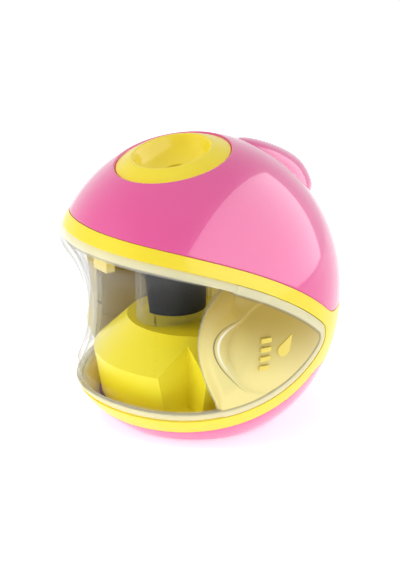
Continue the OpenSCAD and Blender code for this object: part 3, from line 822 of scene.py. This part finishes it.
def mark(bm: bmesh.types.BMesh, name: str, share: Callable[[Vector], float]) -> None:
    """Writes how much of something each point of a mesh has, for its material to read.

    Args:
        bm: The mesh.
        name: The attribute's name.
        share: Gives 0 to 1 for a place in millimetres.
    """
    layer = bm.verts.layers.float.new(name)
    for vert in bm.verts:
        vert[layer] = share(from_centre(vert.co))


def curve_between(a: float, b: float, c: float, d: float, share: float) -> float:
    """Follows a smooth curve through four values in a row.

    Args:
        a: The value before the stretch.
        b: The value where the stretch begins.
        c: The value where it ends.
        d: The value after it.
        share: 0 at b and 1 at c.

    Returns:
        The value on the curve.
    """
    bend = (2 * a - 5 * b + 4 * c - d) * share * share
    return 0.5 * (2 * b + (c - a) * share + bend + (3 * b - a - 3 * c + d) * share**3)


def smooth_path(points: list[tuple[float, float]]) -> list[tuple[float, float]]:
    """Runs a smooth curve through a few points.

    Args:
        points: The points, in order.

    Returns:
        The points of the curve.
    """
    path = []
    last = len(points) - 1
    for i in range(last):
        four = [points[min(last, max(0, i + k))] for k in (-1, 0, 1, 2)]
        for step in range(CURVE_STEPS):
            path.append(tuple(curve_between(*values, step / CURVE_STEPS) for values in zip(*four)))
    return path + [points[-1]]


def spin_profile(
    bm: bmesh.types.BMesh, path: list[tuple[float, float]], frame: Matrix, closed: bool = False
) -> None:
    """Turns a profile into a round form and adds it to a mesh.

    Args:
        bm: The mesh to add to.
        path: Points of radius and height, in millimetres.
        frame: Where the form's axis goes, as a matrix in metres.
        closed: Whether the last point joins the first.
    """
    before = set(bm.verts)
    verts = [bm.verts.new((r * MM, 0.0, z * MM)) for r, z in path]
    edges = [bm.edges.new(pair) for pair in zip(verts, verts[1:])]
    if closed:
        edges.append(bm.edges.new((verts[-1], verts[0])))
    bmesh.ops.spin(
        bm,
        geom=verts + edges,
        axis=(0, 0, 1),
        cent=(0, 0, 0),
        angle=math.tau,
        steps=ROUND_STEPS,
        use_merge=True,
    )
    made = [v for v in bm.verts if v not in before]
    bmesh.ops.remove_doubles(bm, verts=made, dist=MERGE_MM * MM)
    made = [v for v in bm.verts if v not in before]
    bmesh.ops.recalc_face_normals(bm, faces=list({f for v in made for f in v.link_faces}))
    bmesh.ops.transform(bm, matrix=frame, verts=made)


@dataclass(frozen=True)
class Seat:
    """The tilted place on the dome where the pencil funnel sits."""

    body: RoundBody
    tilt: float = math.radians(12.0)
    bezel_r: float = 17.75
    # How far the funnel's edge stands out of the dome, and the gap round it.
    proud: float = -0.5
    slip: float = 0.4

    @property
    def normal(self) -> Vector:
        """Direction that the funnel faces."""
        return Vector((0.0, -math.sin(self.tilt), math.cos(self.tilt)))

    @property
    def centre(self) -> Vector:
        """Works out the middle of the funnel's outer edge.

        Returns:
            The point, in millimetres: the dome's own touching point, lowered by its sag over the edge.
        """
        radius, dome = self.body.radius, self.body.dome
        reach = math.hypot(radius * math.sin(self.tilt), dome * math.cos(self.tilt))
        touch = Vector((0.0, -(radius**2) * math.sin(self.tilt), dome**2 * math.cos(self.tilt))) / reach
        curve = (radius * dome) ** 2 / reach**3
        sag = curve - math.sqrt(curve**2 - self.bezel_r**2)
        return touch + self.normal * (self.proud - sag)

    def matrix(self) -> Matrix:
        """Puts a form that is turned about Z onto the seat."""
        return Matrix.Translation(at(*self.centre)) @ Matrix.Rotation(self.tilt, 4, "X")

    def rim(self, turn: float) -> Vector:
        """Finds the point of the dome's round opening at an angle.

        Args:
            turn: Angle from the front, in radians.

        Returns:
            The point on the dome, in millimetres.
        """
        r = self.bezel_r + self.slip
        back = Vector((0.0, math.cos(self.tilt), math.sin(self.tilt)))
        start = self.centre + Vector((r * math.sin(turn), 0.0, 0.0)) - back * (r * math.cos(turn))
        scale = Vector((1.0 / self.body.radius, 1.0 / self.body.radius, 1.0 / self.body.dome))
        p, d = start * scale, self.normal * scale
        a, b, c = d.dot(d), p.dot(d), p.dot(p) - 1.0
        return start + self.normal * ((-b + math.sqrt(b * b - a * c)) / a)


@dataclass(frozen=True)
class CornerEnd:
    """Where the visor's corner curve joins one of its long edges, in the side view."""

    turn: float
    y: float
    z: float


@dataclass(frozen=True)
class Shells:
    """The pink shells above and below, and the yellow belt that runs between them."""

    body: RoundBody
    seat: Seat
    # Half of the fine gap between a shell and the belt, and the radius of the battery cap's opening.
    seam_gap: float = 0.05
    cap_hole: float = 24.6
    # Easing of the cut edges, and cells round and up each shell and along and across half of the belt.
    shell_edge: float = 0.35
    belt_edge: float = 0.3
    dome_cells: tuple[int, int] = (160, 44)
    bowl_cells: tuple[int, int] = (160, 34)
    belt_cells: tuple[int, int] = (150, 26)
    # Share of the bowl's rows that lie on its side, with the rest on its flat foot.
    side_share: float = 0.88
    # Share of the belt's columns on each rim of the visor, and of the others on each flank and the back.
    rim_share: float = 0.34
    flank_share: float = 0.4
    back_share: float = 0.2

    def build(self) -> None:
        """Builds the three shells."""
        self._upper()
        self._belt()
        self._lower()

    def _upper(self) -> None:
        """The dome, from its curved edge up to the funnel's opening."""
        body = self.body

        def place(across: float, up: float) -> Vector:
            """Finds a point of the dome.

            Args:
                across: Share of the way round.
                up: 0 at the curved edge and 1 at the opening.

            Returns:
                The point, in millimetres.
            """
            turn = math.tau * across
            low = body.on_seam(lambda y: body.upper_seam(y) + self.seam_gap, turn)
            return body.across(low, self.seat.rim(turn), up)

        piece = new_piece(
            "dome_shell", skin(self.dome_cells, place), PINK.material(), "housing"
        )
        give_wall(piece, body.wall, self.shell_edge)
        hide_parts("upper_shell")
        LOG.info("dome shell made")

    def _lower(self) -> None:
        """The bowl, from its curved edge down to the battery cap's opening."""
        body = self.body
        flat = body.radius_at(-body.base)
        foot_share = 1.0 - self.side_share

        def place(across: float, up: float) -> Vector:
            """Finds a point of the bowl or of its flat foot.

            Args:
                across: Share of the way round.
                up: 0 at the opening and 1 at the curved edge.

            Returns:
                The point, in millimetres.
            """
            turn = math.tau * across
            if up >= foot_share:
                foot = body.point(turn, -body.base)
                high = body.on_seam(lambda y: body.lower_seam(y) - self.seam_gap, turn)
                return body.across(foot, high, (up - foot_share) / self.side_share)
            r = self.cap_hole + (flat - self.cap_hole) * up / foot_share
            return Vector((r * math.sin(turn), -r * math.cos(turn), -body.base))

        piece = new_piece(
            "bowl_shell", skin(self.bowl_cells, place), PINK.material(), "housing"
        )
        give_wall(piece, body.wall, self.shell_edge)
        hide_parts("lower_shell")
        LOG.info("bowl shell made")

    def _belt(self) -> None:
        """The belt round the back, with its rims above and below the visor."""
        body = self.body
        high = self._corner_end(body.brow)
        low = self._corner_end(body.chin)

        def place(across: float, up: float) -> Vector:
            """Finds a point between the visor's edge and the shells' edges.

            Args:
                across: 0 at the top front and 1 at the bottom front.
                up: 0 at the visor's edge and 1 at the shells' edges.

            Returns:
                The point, in millimetres.
            """
            return body.across(self._visor_edge(across, high, low), self._shell_edge(across, high, low), up)

        piece = new_piece(
            "belt", skin(self.belt_cells, place, mirror=True), YELLOW.material(), "housing"
        )
        give_wall(piece, body.wall, self.belt_edge)
        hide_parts("belt_frame")
        LOG.info("belt made")

    def _corner_end(self, seam: Circle) -> CornerEnd:
        """Finds where the visor's corner curve joins one of its long edges.

        Args:
            seam: The circle that the edge follows.

        Returns:
            The joint, with its angle on the corner's circle.
        """
        corner = self.body.corner()
        turn = math.atan2(corner.z - seam.z, corner.y - seam.y)
        return CornerEnd(turn, corner.y + corner.r * math.cos(turn), corner.z + corner.r * math.sin(turn))

    def _visor_edge(self, along: float, high: CornerEnd, low: CornerEnd) -> Vector:
        """Follows the visor's edge from the front, over the corner, and back along the chin.

        Args:
            along: 0 at the top front and 1 at the bottom front.
            high: Where the corner begins.
            low: Where it ends.

        Returns:
            The point on the outline, in millimetres.
        """
        body, corner, rim = self.body, self.body.corner(), self.rim_share
        if along < rim:
            return body.on_seam(body.visor_top().top, body.side_turn(high.y, high.z) * along / rim)
        if along > 1.0 - rim:
            return body.on_seam(body.visor_low().bottom, body.side_turn(low.y, low.z) * (1.0 - along) / rim)
        turn = high.turn + (low.turn - high.turn) * (along - rim) / (1.0 - 2.0 * rim)
        return body.on_side(corner.y + corner.r * math.cos(turn), corner.z + corner.r * math.sin(turn))

    def _shell_edge(self, along: float, high: CornerEnd, low: CornerEnd) -> Vector:
        """Follows the shells' edges round the belt, as _visor_edge follows the visor's.

        Args:
            along: 0 at the top front and 1 at the bottom front.
            high: Where the visor's corner begins.
            low: Where it ends.

        Returns:
            The point on the outline, in millimetres.
        """
        body, rim, flank = self.body, self.rim_share, self.flank_share

        def upper(y: float) -> float:
            """The belt's upper edge."""
            return body.upper_seam(y) - self.seam_gap

        def lower(y: float) -> float:
            """The belt's lower edge."""
            return body.lower_seam(y) + self.seam_gap

        high_turn = body.side_turn(high.y, high.z)
        low_turn = body.side_turn(low.y, low.z)
        if along < rim:
            return body.on_seam(upper, high_turn * along / rim)
        if along > 1.0 - rim:
            return body.on_seam(lower, low_turn * (1.0 - along) / rim)
        share = (along - rim) / (1.0 - 2.0 * rim)
        if share < flank:
            return body.on_seam(upper, high_turn + (math.pi - high_turn) * share / flank)
        if share > flank + self.back_share:
            past = share - flank - self.back_share
            return body.on_seam(lower, math.pi + (low_turn - math.pi) * past / flank)
        top, bottom = upper(body.radius), lower(body.radius)
        return body.point(math.pi, top + (bottom - top) * (share - flank) / self.back_share)


@dataclass(frozen=True)
class RearHump:
    """The round hump behind the funnel, which overhangs the back of the dome."""

    centre_y: float = 25.71
    # How fast the top leans forward, and the height from which it does.
    lean: float = 0.08
    lean_from: float = 34.0
    # Radius and height, from the crown down to the flat underside inside the dome.
    profile: tuple[tuple[float, float], ...] = (
        (0.0, 44.5),
        (3.0, 43.8),
        (5.6, 42.1),
        (8.0, 39.9),
        (10.4, 37.4),
        (12.6, 34.6),
        (14.2, 32.0),
        (15.1, 29.9),
        (15.4, 28.4),
        (15.2, 26.9),
        (14.6, 26.4),
        (0.0, 26.4),
    )

    def build(self) -> None:
        """Turns the hump about its upright axis and leans its top forward."""
        bm = bmesh.new()
        path = smooth_path(list(self.profile[:-1])) + [self.profile[-1]]
        spin_profile(bm, path, Matrix.Translation(at(0.0, self.centre_y, 0.0)))
        for vert in bm.verts:
            rise = from_centre(vert.co).z - self.lean_from
            vert.co.y -= self.lean * max(0.0, rise) ** 2 * MM
        piece = new_piece("rear_hump", bm, PINK.material(), "housing")
        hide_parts("rear_spoiler")
        LOG.info("rear hump made")


@dataclass(frozen=True)
class PencilFunnel:
    """The yellow ring and bowl that a pencil goes into, with the stem that works the switch."""

    seat: Seat
    throat: float = 4.3
    skirt: float = 18.7
    stem: float = 6.0
    # Where the stem begins under the seat's middle, and the height of its foot.
    stem_drop: float = 4.7
    stem_foot: float = 30.9
    flange: float = 8.0
    flange_z: float = 35.5
    flange_t: float = 1.6
    # The finger that tips the switch's lever: how far it reaches from the axis, and its width.
    finger: float = 10.5
    finger_wide: float = 4.0
    edge: float = 0.25

    def build(self) -> None:
        """Builds the ring, bowl, stem, flange and finger as one moulding."""
        bm = bmesh.new()
        axis_y = self.seat.centre.y
        spin_profile(bm, self._ring_profile(), self.seat.matrix(), closed=True)
        spin_profile(bm, self._stem_profile(), Matrix.Translation(at(0.0, axis_y, 0.0)), closed=True)
        finger = bmesh.ops.create_cube(bm, size=1.0)["verts"]
        reach = self.finger - self.stem
        bmesh.ops.scale(bm, vec=Vector((reach, self.finger_wide, self.flange_t)) * MM, verts=finger)
        middle = at(self.stem + reach / 2.0, axis_y, self.flange_z + self.flange_t / 2.0)
        bmesh.ops.translate(bm, vec=middle, verts=finger)
        piece = new_piece("funnel", bm, YELLOW.material(), "funnel")
        ease_edges(piece, self.edge)
        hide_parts("pencil_funnel")
        LOG.info("funnel made")

    def _ring_profile(self) -> list[tuple[float, float]]:
        """Draws the ring and bowl: over the face, down the throat and back under the skirt.

        Returns:
            Points of radius and height over the seat.
        """
        bezel = self.seat.bezel_r
        face = smooth_path(
            [
                (bezel, -0.7),
                (17.6, -0.15),
                (17.1, 0.12),
                (15.9, 0.78),
                (14.4, 1.52),
                (13.2, 2.08),
                (12.5, 2.3),
                (11.95, 2.2),
                (11.5, 1.5),
                (10.8, 0.1),
                (9.8, -1.4),
                (8.0, -2.85),
                (6.0, -3.75),
                (self.throat, -4.2),
            ]
        )
        under = [(self.throat, -5.2), (self.stem, -5.6), (10.0, -3.2), (12.0, 0.3), (16.5, -1.6)]
        skirt = [(16.5, -4.4), (self.skirt, -4.4), (self.skirt, -3.6), (bezel, -3.6)]
        return face + under + skirt

    def _stem_profile(self) -> list[tuple[float, float]]:
        """Draws the wall of the stem and its flange.

        Returns:
            Points of radius and height.
        """
        top = self.seat.centre.z - self.stem_drop
        return [
            (self.throat, top),
            (self.throat, self.stem_foot),
            (self.stem, self.stem_foot),
            (self.stem, self.flange_z),
            (self.flange, self.flange_z),
            (self.flange, self.flange_z + self.flange_t),
            (self.stem, self.flange_z + self.flange_t),
            (self.stem, top),
        ]


@dataclass(frozen=True)
class ClearTub:
    """The clear visor: a waisted window in front and a wing with a finger dish on each side.

    Each step or fade is a pair of distances: where it begins and where it is complete.
    """

    body: RoundBody
    wall: float = 1.6
    edge: float = 0.12
    # Gap between the visor and the belt, and heights that are outside it all round.
    slip: float = 0.2
    lowest: float = -38.0
    highest: float = 32.0
    # Height that is well inside it at the front, and how fast that nears the rear corner's.
    mid_front: float = -4.0
    mid_span: float = 1.45
    # The window: hollow at the waist, then rolled in over the chin about a point below and inside it.
    waist_r: float = 33.2
    waist_z: float = -7.0
    waist_curve: float = 38.0
    roll: float = 9.4
    roll_drop: float = 16.5
    roll_in: float = 5.7
    # The bead round the edge, which is crowned, and the panel sunk inside it.
    bead: float = 3.0
    bead_crown: float = 0.35
    panel_sunk: float = 0.5
    panel_step: tuple[float, float] = (-0.3, 0.5)
    window_step: tuple[float, float] = (-0.5, 0.9)
    # The wings: their front edge in the side view, and where their flat face begins, how far round it
    # can go and its rounding into the outline.
    wing_edge: Circle = Circle(41.4, -7.5, 59.0)
    wing_turn: float = math.radians(35.0)
    wing_span: float = 1.4
    wing_ease: float = 2.0
    # The flank from the window out to the wing: how far it can reach, and its rounding at foot and top.
    flank_reach: float = 9.0
    flank_foot: float = 1.0
    flank_top: float = 1.6
    # An angle with a smaller cosine than this is past the flank, and only the wing is left.
    side_on: float = 0.05
    # The finger dish, with the step of its rim and its fade towards the back, in shares of its radius.
    dish: Circle = Circle(-0.4, -5.9, 16.6)
    dish_deep: float = 1.5
    dish_rim: float = 1.6
    dish_fade: tuple[float, float] = (0.3, -1.0)
    # The bare oval pad on the chin.
    pad_z: float = -25.0
    pad_wide: float = 12.5
    pad_high: float = 4.6
    pad_proud: float = 0.4
    pad_inner: float = 0.86
    # What the material shows: bead, wing, painted shade and light from foot to top, painted groove line.
    bead_fade: tuple[float, float] = (-0.2, 0.3)
    wing_fade: tuple[float, float] = (-0.8, -0.2)
    shade_foot: float = -20.0
    shade_top: float = 4.0
    shade_slope: float = 0.25
    line_in: float = 0.1
    line_half: float = 0.5
    line_fade: float = 0.3
    line_depth: float = 0.6
    # The grid: its cells, the angles at which the visor's edges are worked out, and the rows kept along
    # each edge, in a band of a set width or a share of the height.
    cells: tuple[int, int] = (190, 110)
    edge_angles: int = 400
    edge_rows: float = 0.13
    edge_band: float = 4.4
    edge_most: float = 0.45
    # Columns up to the flank and to its end, the room left beside it, and how the rest close up.
    window_columns: float = 0.5
    flank_columns: float = 0.66
    flank_room: float = 0.03
    wing_closing: float = 1.6
    column_passes: int = 3

    def window_radius(self, z: float) -> float:
        """Works out the radius of the window.

        Args:
            z: Height, in millimetres.

        Returns:
            The radius: least at the waist, and drawn in again over the chin.
        """
        roll_z = self.waist_z - self.roll_drop
        if z > roll_z:
            return self.waist_r + self.waist_curve - math.sqrt(self.waist_curve**2 - (z - self.waist_z) ** 2)
        return self.waist_r - self.roll_in + math.sqrt(max(0.0, self.roll**2 - (z - roll_z) ** 2))

    def wing_front(self, z: float) -> float:
        """How far before the axis the wing's front edge is at a height."""
        return math.sqrt(self.wing_edge.r**2 - (z - self.wing_edge.z) ** 2) - self.wing_edge.y

    def reach(self, turn: float) -> tuple[float, float]:
        """Finds the visor's lowest and highest place.

        Args:
            turn: Angle from the front.

        Returns:
            The two heights, which are the same at the rear end.
        """
        side = math.cos(turn)

        def inside(z: float) -> float:
            """Distance inside the visor's edge."""
            return self.body.inside_visor(-self.body.radius_at(z) * side, z) - self.slip

        middle = self._mid_height(side)
        if inside(middle) <= 0.0:
            return middle, middle
        return solve(inside, self.lowest, middle), solve(inside, middle, self.highest)

    def _mid_height(self, side: float) -> float:
        """Height that is well inside the visor, from the front round to its corner."""
        share = min(1.0, max(0.0, (1.0 - side) / self.mid_span))
        return self.mid_front + (self.body.corner().z - self.mid_front) * share

    def last_turn(self) -> float:
        """Works out the angle of the visor's rear end.

        Returns:
            The angle from the front.
        """
        corner = self.body.corner()
        rear = corner.y + corner.r - self.slip
        return math.acos(-rear / self.body.radius_at(corner.z))

    def sunk_to(self, turn: float, z: float) -> float:
        """Works out how far from the axis the tub's surface is.

        Args:
            turn: Angle from the front.
            z: Height, in millimetres.

        Returns:
            The radius, in millimetres.
        """
        full = self.body.radius_at(z)
        y = -full * math.cos(turn)
        inside = self.body.inside_visor(y, z)
        half = self.bead / 2.0
        crown = self.bead_crown * min(1.0, abs(inside - half) / half) ** 2
        panel = self._past_bead(inside, self.panel_step)
        on_bead = 1.0 - self._past_bead(inside, self.window_step)
        outer = full - crown * (1.0 - panel) - self.panel_sunk * panel
        wing = outer
        if self.wing_turn < turn < self.wing_turn + self.wing_span:
            wing = soft_min(outer, self.window_radius(z) / math.cos(turn - self.wing_turn), self.wing_ease)
        wing += (outer - wing) * on_bead - self._dish(y, z)
        if math.cos(turn) < self.side_on:
            return wing
        window = min(outer, self.window_radius(z))
        window += (outer - window) * on_bead + self.pad_proud * self._pad_share(turn, z)
        flank = min(self.wing_front(z) / math.cos(turn), full + self.flank_reach)
        return soft_min(wing, soft_max(window, flank, self.flank_foot), self.flank_top)

    def _past_bead(self, inside: float, step: tuple[float, float]) -> float:
        """Rises from 0 on the bead to 1 inside it, over a step measured from the bead's inner edge."""
        return smooth_step(self.bead + step[0], self.bead + step[1], inside)

    def _pad_share(self, turn: float, z: float) -> float:
        """1 on the bare oval pad at the chin."""
        across = turn * self.window_radius(z) / self.pad_wide
        return smooth_step(1.0, self.pad_inner, math.hypot(across, (z - self.pad_z) / self.pad_high))

    def _dish(self, y: float, z: float) -> float:
        """Works out the depth of the finger dish, deepest at its front edge.

        Args:
            y: Place in the side view.
            z: Height, in millimetres.

        Returns:
            The depth, in millimetres.
        """
        dish = self.dish
        edge = smooth_step(0.0, self.dish_rim, dish.r - dish.distance(y, z))
        return self.dish_deep * edge * smooth_step(*self.dish_fade, (y - dish.y) / dish.r)

    def build(self) -> None:
        """Builds the tub's skin, with its marks for bead and wing, and gives it a wall."""
        last = self.last_turn()
        steps, rows = self.edge_angles, self.edge_rows
        edges = [self.reach(last * (1.0 - (1.0 - i / steps) ** 2)) for i in range(steps + 1)]

        def height(turn: float, up: float) -> float:
            """Works out the height of a row, with the outer rows kept close to the visor's edge.

            Args:
                turn: Angle from the front.
                up: 0 at the visor's lower edge and 1 at its upper edge.

            Returns:
                The height, in millimetres.
            """
            at_step = steps * (1.0 - math.sqrt(max(0.0, 1.0 - turn / last)))
            i = min(steps - 1, int(at_step))
            low, top = (a + (b - a) * (at_step - i) for a, b in zip(edges[i], edges[i + 1]))
            band = min(self.edge_band, self.edge_most * (top - low))
            if up < rows:
                return low + band * up / rows
            if up > 1.0 - rows:
                return top - band * (1.0 - up) / rows
            return low + band + (top - low - 2.0 * band) * (up - rows) / (1.0 - 2.0 * rows)

        def place(across: float, up: float) -> Vector:
            """Finds a point of the right half.

            Args:
                across: 0 at the front and 1 at the rear end.
                up: 0 at the visor's lower edge and 1 at its upper edge.

            Returns:
                The point, in millimetres.
            """
            turn = last * across
            for _ in range(self.column_passes):
                turn = self._column_turn(across, height(turn, up), last)
            z = height(turn, up)
            r = self.sunk_to(turn, z)
            return Vector((r * math.sin(turn), -r * math.cos(turn), z))

        bm = skin(self.cells, place, mirror=True)
        mark(bm, "bead", self._bead_share)
        mark(bm, "wing", self._wing_share)
        mark(bm, "shade", self._shade_share)
        mark(bm, "line", self._line_share)
        plastic = TubPlastic("clear_styrene_tub", self.dish)
        piece = new_piece("clear_tub", bm, plastic.material(), "tub")
        give_wall(piece, self.wall, self.edge, even=False)
        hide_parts("shavings_tub")
        LOG.info("clear tub made")

    def _column_turn(self, across: float, z: float, last: float) -> float:
        """Angle of a column at a height, with several columns kept on the wing's narrow flank.

        Args:
            across: 0 at the front and 1 at the tub's rear end.
            z: Height, in millimetres.
            last: Angle of the tub's rear end.

        Returns:
            The angle from the front.
        """
        window_end, flank_end = self.window_columns, self.flank_columns
        front = self.wing_front(z)
        window = min(self.window_radius(z), self.body.radius_at(z))
        start = math.acos(min(1.0, front / window)) - self.flank_room
        end = self.flank_room + math.atan2(
            window - front * math.cos(self.wing_turn), front * math.sin(self.wing_turn)
        )
        if across < window_end:
            return start * across / window_end
        if across < flank_end:
            return start + (end - start) * (across - window_end) / (flank_end - window_end)
        share = (across - flank_end) / (1.0 - flank_end)
        return end + (last - end) * (1.0 - (1.0 - share) ** self.wing_closing)

    def _inside(self, p: Vector) -> float:
        """How far inside the visor's edge a point of the tub is, once it is put out on the outline."""
        flat = max(TINY, math.hypot(p.x, p.y))
        return self.body.inside_visor(self.body.radius_at(p.z) * p.y / flat, p.z)

    def _bead_share(self, p: Vector) -> float:
        """1 on the raised bead round the visor's edge, which the material paints paler as its highlight."""
        return 1.0 - self._past_bead(self._inside(p), self.bead_fade)

    def _wing_share(self, p: Vector) -> float:
        """1 on the frosted side wings."""
        return smooth_step(*self.wing_fade, self.wing_edge.r - self.wing_edge.distance(p.y, p.z))

    def _shade_share(self, p: Vector) -> float:
        """1 at the top of a wing, where painted shade darkens it, and 0 at its foot, where a painted
        reflection lightens it.
        """
        return smooth_step(self.shade_foot, self.shade_top, p.z + self.shade_slope * p.y)

    def _line_share(self, p: Vector) -> float:
        """How dark the painted shade in the groove inside the bead is."""
        off = abs(self._inside(p) - self.bead - self.line_in)
        return self.line_depth * smooth_step(0.0, self.line_fade, self.line_half - off)


@dataclass(frozen=True)
class Hardware:
    """The pieces whose solids are already their true shape, and the finish of each."""

    finishes: dict[str, Finish | ClearMoulding] = field(
        default_factory=lambda: {
            "battery_cap": PINK,
            "gear_cover": WHITE,
            "gear_deck": WHITE,
            "inner_chassis": CREAM,
            "tub_latch": CREAM,
            "shavings_chute": CHUTE,
            "grip_marks": GRIP,
            "cutter_guard": GUARD,
            "cutter_spindle": BLACK,
            "cutter_block": BLACK,
            "cutter_gear": WHITE,
            "middle_gear": WHITE,
            "motor_end_cap": WHITE,
            "battery_tray": BLACK,
            "start_switch": BLACK,
            "motor_can": TIN,
            "contact_plates": TIN,
            "switch_lever": TIN,
            "cutter_blade": GROUND_STEEL,
            "motor_pinion": BRASS,
            "battery_cell_front": JACKET,
            "battery_cell_rear": JACKET,
            "rubber_feet": RUBBER,
            "middle_axle": PLATED,
            "motor_shaft": PLATED,
            "motor_screws": PLATED,
            "blade_screw": PLATED,
            "contact_springs": PLATED,
            "funnel_spring": PLATED,
            "lever_pin": PLATED,
            "shell_screws": PLATED,
            "base_screws": PLATED,
            "gearbox_screws": PLATED,
            "tray_screws": PLATED,
        }
    )

    def build(self) -> None:
        """Gives each solid its finish."""
        for name, finish in self.finishes.items():
            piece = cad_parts[name]
            piece.data.materials.clear()
            piece.data.materials.append(finish.material())
        LOG.info("%d solids finished", len(self.finishes))


class PanelUse(Enum):
    """What a light panel is hung for."""

    LIGHT = "lights the colours and does not show in gloss"
    REFLECTION = "shows in gloss and lights nothing"


@dataclass(frozen=True)
class Panel:
    """A soft light panel that faces the sharpener, in metres and watts."""

    name: str
    place: tuple[float, float, float]
    width: float
    height: float
    power: float
    use: PanelUse = PanelUse.LIGHT

    def hang(self) -> None:
        """Hangs the panel."""
        data = bpy.data.lights.new(self.name, "AREA")
        data.shape = "RECTANGLE"
        data.size = self.width
        data.size_y = self.height
        data.energy = self.power
        panel = bpy.data.objects.new(self.name, data)
        panel.location = self.place
        panel.rotation_euler = (CENTRE - Vector(self.place)).to_track_quat("-Z", "Y").to_euler()
        panel.visible_glossy = self.use is PanelUse.REFLECTION
        panel.visible_diffuse = self.use is PanelUse.LIGHT
        bpy.context.scene.collection.objects.link(panel)


@dataclass(frozen=True)
class Studio:
    """A pale table, a white room, soft panels and the camera."""

    # The camera's angles from the front and from level, its distance in metres and its lens.
    azimuth: float = math.radians(55.0)
    elevation: float = math.radians(20.0)
    distance: float = 0.7
    lens: float = 143.0
    near: float = 0.01
    # How far it aims to the side of the widest ring's centre and above it, in millimetres.
    aside: float = 1.64
    lift: float = 0.12
    # Strength of the room's own light, which the eye sees as plain white, and of the table's glow.
    room: float = 0.4
    table_glow: float = 0.55
    # The table top's radius in metres, its sides, and the size of its paper's fibres.
    table_r: float = 3.0
    table_cells: int = 64
    fibre_mm: float = 2.5
    # The wide side light is two panels: one lights the colours, the other only shows in gloss.
    panels: tuple[Panel, ...] = (
        Panel("right_panel", (0.445, 0.33, 0.30), 1.60, 0.50, 1.9),
        Panel("right_mirror", (0.41, 0.25, 0.36), 2.00, 0.80, 11.0, PanelUse.REFLECTION),
        Panel("left_panel", (-0.30, -0.62, 0.30), 0.40, 0.50, 2.2),
        Panel("top_panel", (0.0, -0.1, 0.80), 0.60, 0.60, 1.2),
    )

    def build(self) -> None:
        """Sets up the room."""
        self._camera()
        self._floor()
        self._world()
        for panel in self.panels:
            panel.hang()
        bpy.context.scene.view_settings.view_transform = "Standard"
        LOG.info("room made, with %d panels", len(self.panels))

    def _camera(self) -> None:
        """Looks at the body from its front right, a little from above."""
        side = Vector((math.cos(self.azimuth), math.sin(self.azimuth), 0.0))
        away = Vector(
            (
                math.sin(self.azimuth) * math.cos(self.elevation),
                -math.cos(self.azimuth) * math.cos(self.elevation),
                math.sin(self.elevation),
            )
        )
        up = away.cross(side)
        target = at(0.0, 0.0, 0.0) + side * self.aside * MM + up * self.lift * MM
        data = bpy.data.cameras.new("camera")
        data.lens = self.lens
        data.clip_start = self.near
        camera = bpy.data.objects.new("camera", data)
        camera.location = target + away * self.distance
        camera.rotation_euler = (-away).to_track_quat("-Z", "Y").to_euler()
        bpy.context.scene.collection.objects.link(camera)
        bpy.context.scene.camera = camera

    def _floor(self) -> None:
        """Lays a wide pale table top under the feet."""
        bm = bmesh.new()
        bmesh.ops.create_circle(bm, cap_ends=True, segments=self.table_cells, radius=self.table_r)
        mesh = bpy.data.meshes.new("table_top")
        bm.to_mesh(mesh)
        bm.free()
        floor = bpy.data.objects.new("table_top", mesh)
        bpy.context.scene.collection.objects.link(floor)
        mesh.materials.append(self._table_paper())

    def _table_paper(self) -> bpy.types.Material:
        """Makes white paper that looks as bright as the room and keeps a soft shadow.

        Returns:
            The material.
        """
        material, tree = empty_material("white_table_paper")
        place = add_node(tree, "ShaderNodeTexCoord").outputs["Object"]
        fibre = add_node(tree, "ShaderNodeTexNoise", {"Scale": repeats(self.fibre_mm)}, {"Vector": place})
        tint = add_node(
            tree,
            "ShaderNodeMix",
            {"data_type": "RGBA", "#6": linear("#fdfdfd"), "#7": linear("#fafafa")},
            {0: fibre.outputs[0]},
        )
        paper = add_node(tree, "ShaderNodeBsdfDiffuse", {}, {"Color": tint.outputs[2]})
        glow = add_node(tree, "ShaderNodeEmission", {"Strength": self.table_glow})
        lit = add_node(tree, "ShaderNodeAddShader", {}, {0: paper.outputs[0], 1: glow.outputs[0]})
        add_node(tree, "ShaderNodeOutputMaterial", {}, {"Surface": lit.outputs[0]})
        return material

    def _world(self) -> None:
        """A room that is white to the eye and gives a gentle even light."""
        world = bpy.data.worlds.new("white_room")
        world.use_nodes = True
        tree = world.node_tree
        tree.nodes.clear()
        path = add_node(tree, "ShaderNodeLightPath")
        clear = add_node(
            tree,
            "ShaderNodeMath",
            {"operation": "MAXIMUM"},
            {0: path.outputs["Is Camera Ray"], 1: path.outputs["Is Transmission Ray"]},
        )
        seen = add_node(
            tree,
            "ShaderNodeMath",
            {"operation": "MAXIMUM"},
            {0: clear.outputs[0], 1: path.outputs["Is Glossy Ray"]},
        )
        strength = add_node(
            tree, "ShaderNodeMapRange", {"To Min": self.room, "To Max": 1.0}, {"Value": seen.outputs[0]}
        )
        back = add_node(
            tree, "ShaderNodeBackground", {"Color": linear("#ffffff")}, {"Strength": strength.outputs[0]}
        )
        add_node(tree, "ShaderNodeOutputWorld", {}, {"Surface": back.outputs[0]})
        bpy.context.scene.world = world


def main() -> None:
    """Builds the sharpener's finished pieces and the room."""
    logging.basicConfig(level=logging.INFO, format="%(name)s: %(message)s")
    body = RoundBody()
    seat = Seat(body)
    Shells(body, seat).build()
    RearHump().build()
    PencilFunnel(seat).build()
    ClearTub(body).build()
    Hardware().build()
    Studio().build()


if __name__ == "__main__":
    main()
